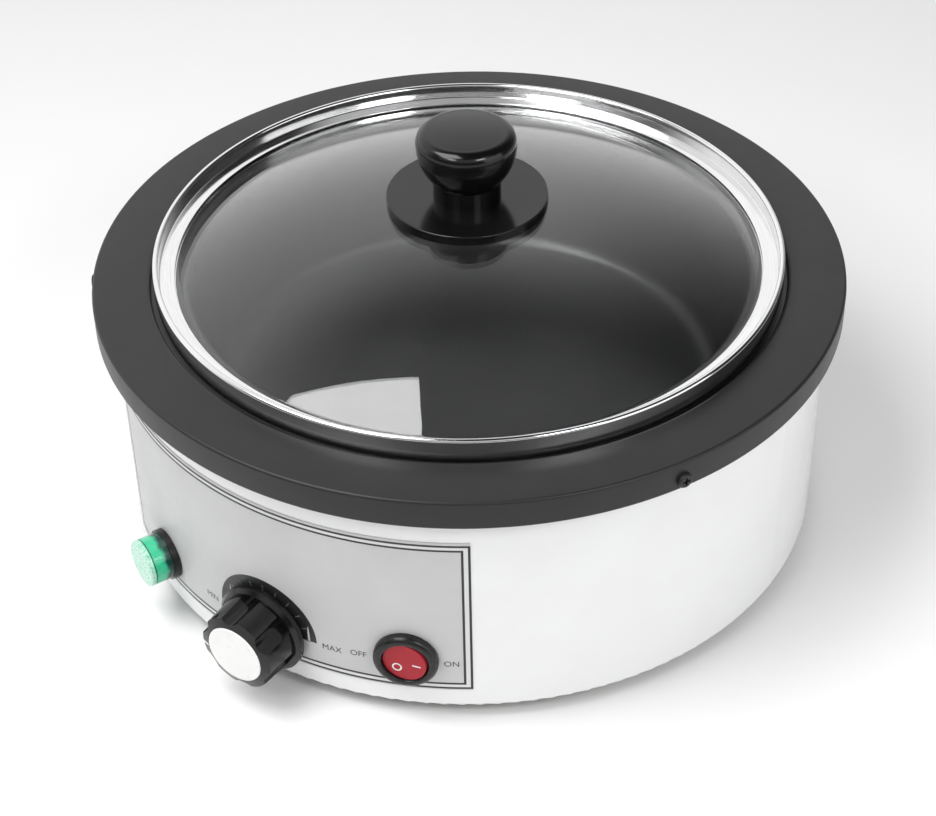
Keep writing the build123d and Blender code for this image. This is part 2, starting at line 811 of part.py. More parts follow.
knob_length = knob_skirt + knob_body
knob_section = Plane(origin=(0, -knob_back, dial_height), x_dir=(1, 0, 0), z_dir=(0, 0, -1))
with BuildPart() as dial_knob:
    with BuildSketch(knob_section):
        with BuildLine():
            Polyline(
                (0, 0),
                (knob_skirt_r, 0),
                (knob_skirt_r, knob_skirt - knob_skirt_bevel),
                (knob_skirt_r - knob_skirt_bevel, knob_skirt),
                (knob_body_r, knob_skirt),
                (knob_front_r, knob_length - knob_front_bevel),
                (cap_r + knob_bevel_gap, knob_length),
                (0, knob_length),
                close=True,
            )
        make_face()
    revolve(axis=Axis((0, -knob_back, dial_height), (0, -1, 0)))
    with BuildSketch(wall_plane(0, dial_height, knob_back + knob_skirt)):
        with PolarLocations(knob_flute_out, knob_flutes, start_angle=knob_flute_first):
            Circle(knob_flute_r)
    extrude(amount=knob_body, mode=Mode.SUBTRACT)
    with BuildSketch(wall_plane(0, dial_height, knob_back)):
        Circle(knob_recess_r)
    extrude(amount=knob_recess, mode=Mode.SUBTRACT)
    with BuildSketch(wall_plane(0, dial_height, knob_back)):
        Circle(shaft_r + shaft_fit)
        with Locations((0, -shaft_r - shaft_fit)):
            Rectangle(2 * shaft_r + shaft_flat, 2 * (shaft_r - shaft_flat), mode=Mode.SUBTRACT)
    extrude(amount=bore_end - knob_back, mode=Mode.SUBTRACT)
    with BuildSketch(wall_plane(0, dial_height, knob_front)):
        Circle(cap_r)
    extrude(amount=-cap_recess, mode=Mode.SUBTRACT)
    with BuildSketch(Plane(origin=(0, -knob_back - grub_along, dial_height), z_dir=(0, 0, -1))):
        Circle(grub_r + shaft_fit)
    extrude(amount=knob_skirt_r, mode=Mode.SUBTRACT)
finish_part(dial_knob, "dial_knob")

with BuildPart() as dial_cap:
    with BuildSketch(wall_plane(0, dial_height, knob_front - cap_recess)):
        Circle(cap_r - cap_gap)
    extrude(amount=cap_thick)
    fillet(dial_cap.edges().group_by(Axis.Y)[0], cap_edge)
finish_part(dial_cap, "dial_cap")

with BuildPart() as dial_grub_screw:
    with BuildSketch(
        Plane(origin=(0, -knob_back - grub_along, dial_height - shaft_flat - shaft_fit), z_dir=(0, 0, -1))
    ):
        Circle(grub_r)
        Rectangle(grub_slot, 2 * grub_r + grub_slot, mode=Mode.SUBTRACT)
    extrude(amount=grub_length)
    with BuildSketch(
        Plane(origin=(0, -knob_back - grub_along, dial_height - shaft_flat - shaft_fit), z_dir=(0, 0, -1))
    ):
        Circle(grub_r)
    extrude(amount=grub_length - grub_r)
finish_part(dial_grub_screw, "dial_grub_screw")

# Front label, glued round the drum
label_turn = radians(label_left)
with BuildPart() as front_label:
    with BuildSketch(
        Plane(
            origin=(0, 0, 0),
            x_dir=(-sin(label_turn), -cos(label_turn), 0),
            z_dir=(-cos(label_turn), sin(label_turn), 0),
        )
    ):
        with Locations(((label_in + label_out) / 2, (label_bottom + label_top) / 2)):
            Rectangle(label_thick, label_top - label_bottom)
    revolve(axis=Axis.Z, revolution_arc=label_left + label_right)
    with BuildSketch(wall_plane(0, dial_height, 0)):
        Circle(bushing_r + panel_fit)
    extrude(amount=label_out + label_thick, mode=Mode.SUBTRACT)
    with BuildSketch(wall_plane(lamp_azimuth, lamp_height, 0)):
        Circle(lamp_barrel_r + panel_fit)
    extrude(amount=label_out + label_thick, mode=Mode.SUBTRACT)
    with BuildSketch(wall_plane(switch_azimuth, switch_height, 0)):
        Circle(switch_barrel_r + panel_fit)
    extrude(amount=label_out + label_thick, mode=Mode.SUBTRACT)
finish_part(front_label, "front_label")

# Signal lamp
lamp_seat = label_out + nut_seat_gap
lamp_face = lamp_seat + lamp_bezel
with BuildPart() as lamp_body:
    with BuildSketch(wall_plane(lamp_azimuth, lamp_height, lamp_seat)):
        Circle(lamp_bezel_r)
    extrude(amount=lamp_bezel)
    with BuildSketch(wall_plane(lamp_azimuth, lamp_height, lamp_seat)):
        Circle(lamp_barrel_r)
    extrude(amount=-lamp_barrel)
    with BuildSketch(wall_plane(lamp_azimuth, lamp_height, lamp_seat - lamp_barrel)):
        with Locations((-lamp_tag_out, 0), (lamp_tag_out, 0)):
            Rectangle(lamp_tag_t, lamp_tag_w)
    extrude(amount=-lamp_tag_length)
finish_part(lamp_body, "lamp_body")

with BuildPart() as lamp_lens:
    with BuildSketch(wall_plane(lamp_azimuth, lamp_height, lamp_face)):
        Circle(lamp_lens_r)
    extrude(amount=lamp_lens_height)
    lens_front = lamp_lens.faces().sort_by_distance(
        wall_plane(lamp_azimuth, lamp_height, lamp_face + lamp_lens_height).origin
    )[0]
    fillet(lens_front.edges(), lamp_lens_edge)
    with BuildSketch(wall_plane(lamp_azimuth, lamp_height, lamp_face)):
        Circle(lamp_lens_r - lamp_lens_wall)
    extrude(amount=lamp_lens_height - lamp_lens_front, mode=Mode.SUBTRACT)
    with BuildSketch(wall_plane(lamp_azimuth, lamp_height, lamp_face + lamp_groove_at)):
        Circle(lamp_bezel_r)
        Circle(lamp_lens_r - lamp_groove, mode=Mode.SUBTRACT)
    extrude(amount=lamp_groove_w, mode=Mode.SUBTRACT)
finish_part(lamp_lens, "lamp_lens")

with BuildPart() as lamp_led:
    with BuildSketch(wall_plane(lamp_azimuth, lamp_height, lamp_face)):
        Circle(led_r)
    extrude(amount=led_height)
    led_front = lamp_led.faces().sort_by_distance(
        wall_plane(lamp_azimuth, lamp_height, lamp_face + led_height).origin
    )[0]
    fillet(led_front.edges(), led_edge)
finish_part(lamp_led, "lamp_led")

lamp_nut_half = lamp_nut_flats / sqrt(3)
lamp_nut_face = sqrt(drum_in**2 - lamp_nut_half**2) - nut_seat_gap
with BuildPart() as lamp_nut:
    with BuildSketch(wall_plane(lamp_azimuth, lamp_height, lamp_nut_face)):
        RegularPolygon(lamp_nut_flats / 2, 6, major_radius=False)
        Circle(lamp_barrel_r + shaft_fit, mode=Mode.SUBTRACT)
    extrude(amount=-lamp_nut_thick)
finish_part(lamp_nut, "lamp_nut")

# Rocker switch, drawn with its O side pressed
switch_seat = label_out + nut_seat_gap
switch_face = switch_seat + switch_bezel
pivot_r = switch_face - rocker_below_face
pivot = wall_plane(switch_azimuth, switch_height, pivot_r)
pivot_section = Plane(origin=pivot.origin, x_dir=pivot.x_dir, z_dir=(0, 0, 1))
with BuildPart() as switch_body:
    with BuildSketch(wall_plane(switch_azimuth, switch_height, switch_seat)):
        Circle(switch_bezel_r)
    extrude(amount=switch_bezel)
    bezel_face = switch_body.faces().sort_by_distance(
        wall_plane(switch_azimuth, switch_height, switch_face).origin
    )[0]
    fillet(bezel_face.edges(), switch_bezel_edge)
    with BuildSketch(wall_plane(switch_azimuth, switch_height, switch_seat)):
        Circle(switch_barrel_r)
    extrude(amount=-switch_barrel)
    with BuildSketch(wall_plane(switch_azimuth, switch_height, switch_face)):
        Circle(switch_well_r)
    extrude(amount=-switch_well_depth, mode=Mode.SUBTRACT)
    well_edges = switch_body.edges().filter_by(
        lambda edge: edge.geom_type == GeomType.CIRCLE
        and abs(edge.radius - switch_well_r) < same_size
        and (edge.arc_center - wall_plane(switch_azimuth, switch_height, switch_face).origin).length
        < same_size
    )
    fillet(well_edges, switch_well_edge)
    with BuildSketch(Plane(origin=pivot.origin, x_dir=pivot.x_dir, z_dir=(0, 0, 1))):
        Circle(rocker_pin_r + rocker_pin_fit)
    extrude(amount=rocker_pin_reach + rocker_pin_fit, both=True, mode=Mode.SUBTRACT)
    with BuildSketch(wall_plane(switch_azimuth, switch_height, switch_seat - switch_barrel)):
        with Locations((-blade_pitch / 2, 0), (blade_pitch / 2, 0)):
            Rectangle(blade_t + 2 * pin_fit, blade_w + 2 * pin_fit)
    extrude(amount=blade_root, mode=Mode.SUBTRACT)
finish_part(switch_body, "switch_body")

with BuildPart() as switch_terminals:
    with BuildSketch(
        wall_plane(switch_azimuth, switch_height, switch_seat - switch_barrel + blade_root - pin_fit)
    ):
        with Locations((-blade_pitch / 2, 0), (blade_pitch / 2, 0)):
            Rectangle(blade_t, blade_w)
    extrude(amount=-blade_root - blade_length)
finish_part(switch_terminals, "switch_terminals")

raised_slope = tan(radians(rocker_tilt / 2 + rocker_valley))
pressed_slope = tan(radians(rocker_tilt / 2 - rocker_valley))
with BuildPart() as rocker:
    with BuildSketch(pivot_section):
        with BuildLine():
            Line((0, -rocker_r), (0, rocker_r))
            ThreePointArc((0, rocker_r), (rocker_r, 0), (0, -rocker_r))
        make_face()
    revolve(axis=Axis(pivot.origin, pivot.z_dir))
    with BuildSketch(pivot_section):
        with BuildLine():
            Polyline(
                (0, -rocker_face),
                (2 * rocker_r, -rocker_face - 2 * rocker_r * raised_slope),
                (2 * rocker_r, -3 * rocker_r),
                (-2 * rocker_r, -3 * rocker_r),
                (-2 * rocker_r, -rocker_face + 2 * rocker_r * pressed_slope),
                close=True,
            )
        make_face()
    extrude(amount=2 * rocker_r, both=True, mode=Mode.SUBTRACT)
    with BuildSketch(wall_plane(switch_azimuth, switch_height, pivot_r - rocker_under)):
        Rectangle(4 * rocker_r, 4 * rocker_r)
    extrude(amount=-2 * rocker_r, mode=Mode.SUBTRACT)
    with BuildSketch(Plane(origin=pivot.origin, x_dir=pivot.x_dir, z_dir=(0, 0, 1))):
        Circle(rocker_pin_r)
    extrude(amount=rocker_pin_reach, both=True)
finish_part(rocker, "rocker")

# Power inlet
inlet_seat = drum_r + inlet_gap
inlet_face = inlet_seat + inlet_flange
cavity_floor = inlet_face - inlet_cavity_d
pin_places = [
    (-pin_offset, pin_line_pitch / 2),
    (-pin_offset, -pin_line_pitch / 2),
    (pin_offset, 0),
]
with BuildPart() as inlet_housing:
    with BuildSketch(wall_plane(inlet_azimuth, inlet_height, inlet_seat)):
        RectangleRounded(inlet_flange_w, inlet_flange_h, inlet_flange_corner)
        with Locations(*inlet_screw_places):
            Circle(m3_r + screw_fit, mode=Mode.SUBTRACT)
    extrude(amount=inlet_flange)
    with BuildSketch(wall_plane(inlet_azimuth, inlet_height, inlet_seat)):
        RectangleRounded(inlet_body_w, inlet_body_h, inlet_corner)
    extrude(amount=-inlet_body_d)
    with BuildSketch(wall_plane(inlet_azimuth, inlet_height, inlet_face)):
        RectangleRounded(inlet_cavity_w, inlet_cavity_h, inlet_corner)
    extrude(amount=-inlet_cavity_d, mode=Mode.SUBTRACT)
    with BuildSketch(wall_plane(inlet_azimuth, inlet_height, cavity_floor)):
        with Locations(*pin_places):
            Rectangle(pin_long + 2 * pin_fit, pin_short + 2 * pin_fit)
    extrude(amount=-inlet_body_d, mode=Mode.SUBTRACT)
finish_part(inlet_housing, "inlet_housing")

with BuildPart() as inlet_pins:
    with BuildSketch(wall_plane(inlet_azimuth, inlet_height, inlet_seat - inlet_body_d - pin_tail)):
        with Locations(*pin_places):
            Rectangle(pin_long, pin_short)
    extrude(amount=cavity_floor + pin_out - (inlet_seat - inlet_body_d - pin_tail))
finish_part(inlet_pins, "inlet_pins")

inlet_nut_face = sqrt(drum_in**2 - (foot_nut_flats / sqrt(3)) ** 2) - nut_seat_gap
with BuildPart() as inlet_screws:
    with BuildSketch(wall_plane(inlet_azimuth, inlet_height, inlet_face)):
        with Locations(*inlet_screw_places):
            Circle(m3_head_r)
    extrude(amount=m3_head)
    with BuildSketch(wall_plane(inlet_azimuth, inlet_height, inlet_face)):
        with Locations(*inlet_screw_places):
            Circle(m3_r)
    extrude(amount=-(inlet_face - inlet_nut_face + inlet_nut_thick + foot_screw_past_nut))
    fillet(inlet_screws.edges().group_by(Axis.Y)[-1], m3_dome_edge)
    with BuildSketch(wall_plane(inlet_azimuth, inlet_height, inlet_face + m3_head)):
        with Locations(*inlet_screw_places):
            Rectangle(cross_w, cross_length)
            Rectangle(cross_length, cross_w)
    extrude(amount=-cross_depth, mode=Mode.SUBTRACT)
finish_part(inlet_screws, "inlet_screws")

with BuildPart() as inlet_nuts:
    with BuildSketch(wall_plane(inlet_azimuth, inlet_height, inlet_nut_face)):
        with Locations(*inlet_screw_places):
            RegularPolygon(foot_nut_flats / 2, 6, major_radius=False)
            Circle(m3_r + shaft_fit, mode=Mode.SUBTRACT)
    extrude(amount=-inlet_nut_thick)
finish_part(inlet_nuts, "inlet_nuts")

# Terminal block and earth stud on the base plate
with BuildPart() as terminal_block:
    with BuildSketch(Plane.XY.offset(drum_bottom)):
        with Locations((0, block_y)):
            RectangleRounded(block_l, block_w, block_edge)
    extrude(amount=block_h)
    with BuildSketch(Plane.XY.offset(drum_bottom + block_h)):
        with Locations(*block_screw_places):
            Circle(m3_head_r + screw_fit)
    extrude(amount=-block_h / 2, mode=Mode.SUBTRACT)
    with BuildSketch(Plane.XY.offset(drum_bottom + block_h / 2)):
        with Locations(*block_screw_places):
            Circle(m3_r + screw_fit)
    extrude(amount=-block_h / 2, mode=Mode.SUBTRACT)
    with BuildSketch(
        Plane(origin=(0, block_y - block_w / 2, drum_bottom + block_h / 2), x_dir=(1, 0, 0), z_dir=(0, -1, 0))
    ):
        with GridLocations(block_way_pitch, 0, block_ways, 1):
            Circle(block_way_r)
    extrude(amount=-block_w, mode=Mode.SUBTRACT)
finish_part(terminal_block, "terminal_block")

block_screw_seat = drum_bottom + block_h / 2
with BuildPart() as block_screws:
    with BuildSketch(Plane.XY.offset(block_screw_seat)):
        with Locations(*block_screw_places):
            Circle(m3_head_r)
    extrude(amount=m3_head)
    with BuildSketch(Plane.XY.offset(block_screw_seat)):
        with Locations(*block_screw_places):
            Circle(m3_r)
    extrude(amount=-(block_screw_seat - base_bottom))
finish_part(block_screws, "block_screws")

with BuildPart() as earth_stud:
    with BuildSketch(Plane.XY.offset(base_bottom)):
        with Locations((earth_x, earth_y)):
            Circle(earth_r)
    extrude(amount=earth_height)
    with BuildSketch(Plane.XY.offset(drum_bottom)):
        with Locations((earth_x, earth_y)):
            RegularPolygon(earth_nut_flats / 2, 6, major_radius=False)
    extrude(amount=earth_nut_thick)
finish_part(earth_stud, "earth_stud")

# Lid glass: a dome of even thickness with a flat edge
under_r = dome_r - glass_thick
under_foot_r = sqrt(under_r**2 - (glass_bottom - dome_centre) ** 2)
with BuildPart() as lid_glass:
    with BuildSketch(Plane.XZ):
        with BuildLine():
            dome_arc(lid_hole_r, dome_foot_r, dome_r)
            Polyline(
                (dome_foot_r, glass_edge_top),
                (glass_r, glass_edge_top),
                (glass_r, glass_bottom),
                (under_foot_r, glass_bottom),
            )
            dome_arc(under_foot_r, lid_hole_r, under_r)
            Line((lid_hole_r, dome_z(lid_hole_r, under_r)), (lid_hole_r, dome_z(lid_hole_r, dome_r)))
        make_face()
    revolve(axis=Axis.Z)
    fillet(turned_edges(lid_glass, dome_foot_r, glass_edge_top), glass_bend)
    fillet(turned_edges(lid_glass, under_foot_r, glass_bottom), glass_bend + glass_thick)
finish_part(lid_glass, "lid_glass")

# Lid rim: one folded steel strip that grips the glass and stands in a rolled bead
bead_in_r = rim_r - 2 * rim_bead
bead_z = rim_top - rim_bead
channel_r = glass_r + glass_edge_gap
channel_out_r = channel_r + rim_sheet
pocket_out_r = rim_r - rim_sheet
pocket_in_r = bead_in_r + rim_sheet
with BuildPart() as lid_rim:
    with BuildSketch(Plane.XZ):
        with BuildLine():
            Line((rim_r, lid_bottom), (rim_r, bead_z))
            ThreePointArc((rim_r, bead_z), (rim_r - rim_bead, rim_top), (bead_in_r, bead_z))
            Polyline(
                (bead_in_r, bead_z),
                (bead_in_r, flange_top),
                (rim_inner_r, flange_top),
                (rim_inner_r, flange_under),
                (channel_r, flange_under),
                (channel_r, lip_top),
                (rim_lip_r, lip_top),
                (rim_lip_r, lid_bottom),
                (channel_out_r, lid_bottom),
                (channel_out_r, flange_under),
                (pocket_in_r, flange_under),
                (pocket_in_r, bead_z),
                (pocket_out_r, bead_z),
                (pocket_out_r, lid_bottom),
                (rim_r, lid_bottom),
            )
        make_face()
    revolve(axis=Axis.Z)
finish_part(lid_rim, "lid_rim")

# Lid knob on its round base
grip_r = dome_r + glass_fit
with BuildPart() as knob_base:
    with BuildSketch(Plane.XZ):
        with BuildLine():
            dome_arc(lid_screw_r + screw_fit, knob_base_r, grip_r)
            Polyline(
                (knob_base_r, dome_z(knob_base_r, grip_r)),
                (knob_base_r, knob_seat),
                (lid_screw_r + screw_fit, knob_seat),
                (lid_screw_r + screw_fit, dome_z(lid_screw_r + screw_fit, grip_r)),
            )
        make_face()
    revolve(axis=Axis.Z)
    fillet(turned_edges(knob_base, knob_base_r, knob_seat), knob_edge)
finish_part(knob_base, "knob_base")

equator = knob_seat + knob_equator
shoulder_r = knob_cap_r - knob_shoulder
shoulder_top = equator + knob_edge + knob_shoulder
crown_r = (shoulder_r**2 + knob_cap_crown**2) / (2 * knob_cap_crown)
crown_centre = shoulder_top + knob_cap_crown - crown_r
washer_top = dome_z(lid_washer_r, under_r)
screw_tip = lid_screw_length + washer_top - lid_washer_thick
with BuildPart() as lid_knob:
    with BuildSketch(Plane.XZ):
        with BuildLine():
            Polyline(
                (0, shoulder_top + knob_cap_crown),
                (0, knob_seat),
                (knob_neck_r, knob_seat),
                (knob_neck_r, knob_seat + knob_neck_height),
            )
            Bezier(
                (knob_neck_r, knob_seat + knob_neck_height),
                (knob_cap_r, knob_seat + knob_under_bulge),
                (knob_cap_r, equator),
            )
            Line((knob_cap_r, equator), (knob_cap_r, equator + knob_edge))
            ThreePointArc(
                (knob_cap_r, equator + knob_edge),
                (
                    shoulder_r + knob_shoulder * cos(radians(45)),
                    equator + knob_edge + knob_shoulder * sin(radians(45)),
                ),
                (shoulder_r, shoulder_top),
            )
            ThreePointArc(
                (shoulder_r, shoulder_top),
                (shoulder_r / 2, crown_centre + sqrt(crown_r**2 - shoulder_r**2 / 4)),
                (0, shoulder_top + knob_cap_crown),
            )
        make_face()
    revolve(axis=Axis.Z)
    with BuildSketch(Plane.XY.offset(knob_seat)):
        Circle(lid_screw_r + shaft_fit)
    extrude(amount=screw_tip + screw_fit - knob_seat, mode=Mode.SUBTRACT)
finish_part(lid_knob, "lid_knob")

with BuildPart() as lid_washer:
    with BuildSketch(Plane.XY.offset(washer_top)):
        Circle(lid_washer_r)
        Circle(lid_screw_r + screw_fit, mode=Mode.SUBTRACT)
    extrude(amount=-lid_washer_thick)
finish_part(lid_washer, "lid_washer")

with BuildPart() as lid_screw:
    with BuildSketch(Plane.XY.offset(washer_top - lid_washer_thick)):
        Circle(lid_screw_head_r)
    extrude(amount=-lid_screw_head)
    fillet(lid_screw.edges().group_by(Axis.Z)[0], m3_dome_edge)
    with BuildSketch(Plane.XY.offset(washer_top - lid_washer_thick)):
        Circle(lid_screw_r)
    extrude(amount=lid_screw_length)
    with BuildSketch(Plane.XY.offset(washer_top - lid_washer_thick - lid_screw_head)):
        Rectangle(cross_w, 2 * cross_length)
        Rectangle(2 * cross_length, cross_w)
    extrude(amount=cross_depth, mode=Mode.SUBTRACT)
finish_part(lid_screw, "lid_screw")
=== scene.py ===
from math import atan2, cos, degrees, pi, radians, sin, sqrt, tan

import bmesh
import bpy
from mathutils import Matrix, Vector


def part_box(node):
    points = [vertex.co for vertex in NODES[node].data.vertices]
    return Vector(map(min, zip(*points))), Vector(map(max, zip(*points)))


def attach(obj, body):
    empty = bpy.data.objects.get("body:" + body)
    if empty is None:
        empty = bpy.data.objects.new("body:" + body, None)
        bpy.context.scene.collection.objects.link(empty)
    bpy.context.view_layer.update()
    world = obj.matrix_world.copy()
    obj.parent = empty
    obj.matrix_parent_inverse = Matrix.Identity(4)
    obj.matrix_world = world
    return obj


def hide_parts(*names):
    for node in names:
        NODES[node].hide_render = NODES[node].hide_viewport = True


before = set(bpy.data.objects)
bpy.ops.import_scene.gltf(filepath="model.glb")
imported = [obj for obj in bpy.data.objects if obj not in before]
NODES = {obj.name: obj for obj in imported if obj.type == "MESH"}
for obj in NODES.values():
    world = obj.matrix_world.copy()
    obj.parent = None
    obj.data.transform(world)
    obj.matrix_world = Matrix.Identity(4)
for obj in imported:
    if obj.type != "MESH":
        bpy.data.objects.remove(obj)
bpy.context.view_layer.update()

# Metres and degrees. The origin is on the bench, on the drum's axis, +Z is up and the dial faces -Y.
# Azimuths start at the front and grow towards +X.
MM = 0.001
COLLAR_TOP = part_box("collar_ring")[1].z
LABEL_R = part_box("front_label")[0].y * -1
DIAL_Z = (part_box("dial_cap")[0].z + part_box("dial_cap")[1].z) / 2

# Camera, as the photograph was taken
PHOTO_WIDTH = 936
FOCAL_PIXELS = 2150
SENSOR = 36.0
VIEW_AZIMUTH = 33.9
VIEW_ELEVATION = 34.52
VIEW_DISTANCE = 0.8405
AIM_YAW = -0.12
AIM_DOWN = 4.00
AIM_ROLL = -1.22


def direction(azimuth, elevation):
    """Unit vector from the object towards an azimuth and elevation."""
    a, e = radians(azimuth), radians(elevation)
    return Vector((sin(a) * cos(e), -cos(a) * cos(e), sin(e)))


def make_camera():
    """Camera at the photograph's viewing angle, aimed a little off the collar's middle."""
    spin = Matrix.Rotation(radians(VIEW_AZIMUTH), 3, "Z")
    yaw, down, roll = radians(AIM_YAW), radians(VIEW_ELEVATION + AIM_DOWN), radians(AIM_ROLL)
    ahead = Vector((sin(yaw) * cos(down), cos(yaw) * cos(down), -sin(down)))
    right = Vector((cos(yaw), -sin(yaw), 0))
    up = right.cross(ahead)
    rolled_right = cos(roll) * right + sin(roll) * up
    rolled_up = cos(roll) * up - sin(roll) * right
    turn = Matrix((spin @ rolled_right, spin @ rolled_up, spin @ -ahead)).transposed()
    data = bpy.data.cameras.new("camera")
    data.sensor_width = SENSOR
    data.lens = FOCAL_PIXELS * SENSOR / PHOTO_WIDTH
    camera = bpy.data.objects.new("camera", data)
    bpy.context.scene.collection.objects.link(camera)
    place = direction(VIEW_AZIMUTH, VIEW_ELEVATION) * VIEW_DISTANCE + Vector((0, 0, COLLAR_TOP))
    camera.matrix_world = Matrix.Translation(place) @ turn.to_4x4()
    bpy.context.scene.camera = camera


LIGHT_AIM = (0, 0, 0.1)


def area_light(name, azimuth, elevation, distance, width, height, power):
    """Rectangular softbox that faces the middle of the bath."""
    data = bpy.data.lights.new(name, "AREA")
    data.shape = "RECTANGLE"
    data.size, data.size_y = width, height
    data.energy = power
    light = bpy.data.objects.new(name, data)
    bpy.context.scene.collection.objects.link(light)
    away = direction(azimuth, elevation)
    light.rotation_mode = "QUATERNION"
    light.rotation_quaternion = away.to_track_quat("Z", "Y")
    light.location = Vector(LIGHT_AIM) + away * distance
    return light


# World as mirrors see it: a broad bright wall behind the object and to its left, which ends in a
# soft edge overhead. Azimuths here start straight away from the camera and grow to the right.
WALL_LIGHT = 1.15
ROOM_LIGHT = 0.02
FRONT_LIGHT = 0.10               # faint light all round, near the floor
FRONT_TOP = (0.0, 0.5)
WALL_TOP = (0.67, 0.96)          # sines of the elevations where the wall's light fades out
WALL_SIDE = (0.09, 0.885)        # sines of the azimuths where it fades towards the right
WALL_BACK = (-0.35, 0.25)        # cosines of the azimuths where it fades towards the camera
FRONT_WALL = 0.75                # bright wall behind the camera, between these two edges
FRONT_WALL_LOW = (0.25, 0.45)
FRONT_WALL_HIGH = (0.68, 0.85)
FRONT_WALL_SIDE = (-0.6, -0.2)
WORLD_FILL = 0.38                # as matt surfaces see it
BACKDROP = 1.0


def make_world():
    """Studio surroundings: bright wall for mirrors, even fill for matt surfaces, plain backdrop."""
    world = bpy.data.worlds.new("studio")
    bpy.context.scene.world = world
    world.use_nodes = True
    tree = world.node_tree
    tree.nodes.clear()
    where = tree.nodes.new("ShaderNodeTexCoord")
    turn = tree.nodes.new("ShaderNodeMapping")
    turn.inputs["Rotation"].default_value = (0, 0, -radians(VIEW_AZIMUTH))
    tree.links.new(where.outputs["Generated"], turn.inputs["Vector"])
    split = tree.nodes.new("ShaderNodeSeparateXYZ")
    tree.links.new(turn.outputs[0], split.inputs[0])
    right, ahead, up = split.outputs["X"], split.outputs["Y"], split.outputs["Z"]
    level = math_node(tree, "SQRT", math_node(tree, "ADD", math_node(tree, "MULTIPLY", right, right),
                                              math_node(tree, "MULTIPLY", ahead, ahead)))
    level = math_node(tree, "MAXIMUM", level, 0.001)
    fades = [fade(tree, up, WALL_TOP, 1, 0),
             fade(tree, math_node(tree, "DIVIDE", right, level), WALL_SIDE, 1, 0),
             fade(tree, math_node(tree, "DIVIDE", ahead, level), WALL_BACK, 0, 1)]
    wall = math_node(tree, "MULTIPLY", math_node(tree, "MULTIPLY", fades[0], fades[1]), fades[2])
    light = math_node(tree, "ADD", math_node(tree, "MULTIPLY", wall, WALL_LIGHT - ROOM_LIGHT), ROOM_LIGHT)
    low = math_node(tree, "MULTIPLY", fade(tree, up, FRONT_TOP, 1, 0), FRONT_LIGHT)
    behind = [fade(tree, up, FRONT_WALL_LOW, 0, FRONT_WALL), fade(tree, up, FRONT_WALL_HIGH, 1, 0),
              fade(tree, math_node(tree, "DIVIDE", ahead, level), FRONT_WALL_SIDE, 1, 0)]
    band = math_node(tree, "MULTIPLY", behind[0], behind[1])
    low = math_node(tree, "ADD", low, math_node(tree, "MULTIPLY", band, behind[2]))
    seen, fill, backdrop = (tree.nodes.new("ShaderNodeBackground") for _ in range(3))
    tree.links.new(math_node(tree, "ADD", light, low), seen.inputs["Strength"])
    for plain, grey in ((seen, 1), (fill, WORLD_FILL), (backdrop, BACKDROP)):
        plain.inputs["Color"].default_value = (grey, grey, grey, 1)
    ray = tree.nodes.new("ShaderNodeLightPath")
    by_diffuse, by_camera = tree.nodes.new("ShaderNodeMixShader"), tree.nodes.new("ShaderNodeMixShader")
    tree.links.new(ray.outputs["Is Diffuse Ray"], by_diffuse.inputs[0])
    tree.links.new(seen.outputs[0], by_diffuse.inputs[1])
    tree.links.new(fill.outputs[0], by_diffuse.inputs[2])
    tree.links.new(ray.outputs["Is Camera Ray"], by_camera.inputs[0])
    tree.links.new(by_diffuse.outputs[0], by_camera.inputs[1])
    tree.links.new(backdrop.outputs[0], by_camera.inputs[2])
    output = tree.nodes.new("ShaderNodeOutputWorld")
    tree.links.new(by_camera.outputs[0], output.inputs[0])


def fade(tree, value, ends, first, last):
    """Smooth change from one number to another between two values."""
    node = tree.nodes.new("ShaderNodeMapRange")
    node.interpolation_type = "SMOOTHSTEP"
    for name, number in zip(("From Min", "From Max", "To Min", "To Max"), (*ends, first, last)):
        node.inputs[name].default_value = number
    tree.links.new(value, node.inputs["Value"])
    return node.outputs[0]


# Overhead softbox: its far right corner, from the collar's middle, to the camera's right, ahead and
# up, and its tilt about those first two directions in degrees
SOFTBOX_CORNER = (-0.172, 0.091, 1.0)
SOFTBOX_TILT = (10.6, -27.3, 0)
SOFTBOX_SIZE = 0.56
SOFTBOX_POWER = 7.0


def overhead_softbox():
    """Softbox above and left of the bath; the glass mirrors its far right corner."""
    light = area_light("key_softbox", 0, 90, 1, SOFTBOX_SIZE, SOFTBOX_SIZE, SOFTBOX_POWER)
    spin = Matrix.Rotation(radians(VIEW_AZIMUTH), 3, "Z")
    tilt = Vector(SOFTBOX_TILT)
    turn = spin @ Matrix.Rotation(radians(tilt.length), 3, tilt)
    middle = spin @ Vector(SOFTBOX_CORNER) - turn @ Vector((SOFTBOX_SIZE / 2, SOFTBOX_SIZE / 2, 0))
    light.location = middle + Vector((0, 0, COLLAR_TOP))
    light.rotation_quaternion = turn.to_quaternion()


# Other lights: degrees to the camera's right, elevation, distance, width, height and power
SIDE_LIGHTS = [("front_left_softbox", -38, 42, 1.1, 0.29, 0.17, 1.7),
               ("front_right_softbox", 34, 40, 1.1, 0.30, 0.2, 2.2),
               ("right_panel", 60, 16, 1.3, 1.0, 0.8, 3.5)]


def make_lights():
    """Overhead softbox, two small ones for the knob's highlights and a wide panel for the drum."""
    overhead_softbox()
    for name, turn, elevation, distance, width, height, power in SIDE_LIGHTS:
        area_light(name, VIEW_AZIMUTH + turn, elevation, distance, width, height, power)


# Material graphs
def new_material(name):
    """Material with one shader and its output."""
    material = bpy.data.materials.new(name)
    material.use_nodes = True
    tree = material.node_tree
    tree.nodes.clear()
    shader = tree.nodes.new("ShaderNodeBsdfPrincipled")
    output = tree.nodes.new("ShaderNodeOutputMaterial")
    tree.links.new(shader.outputs[0], output.inputs[0])
    return material, tree, shader


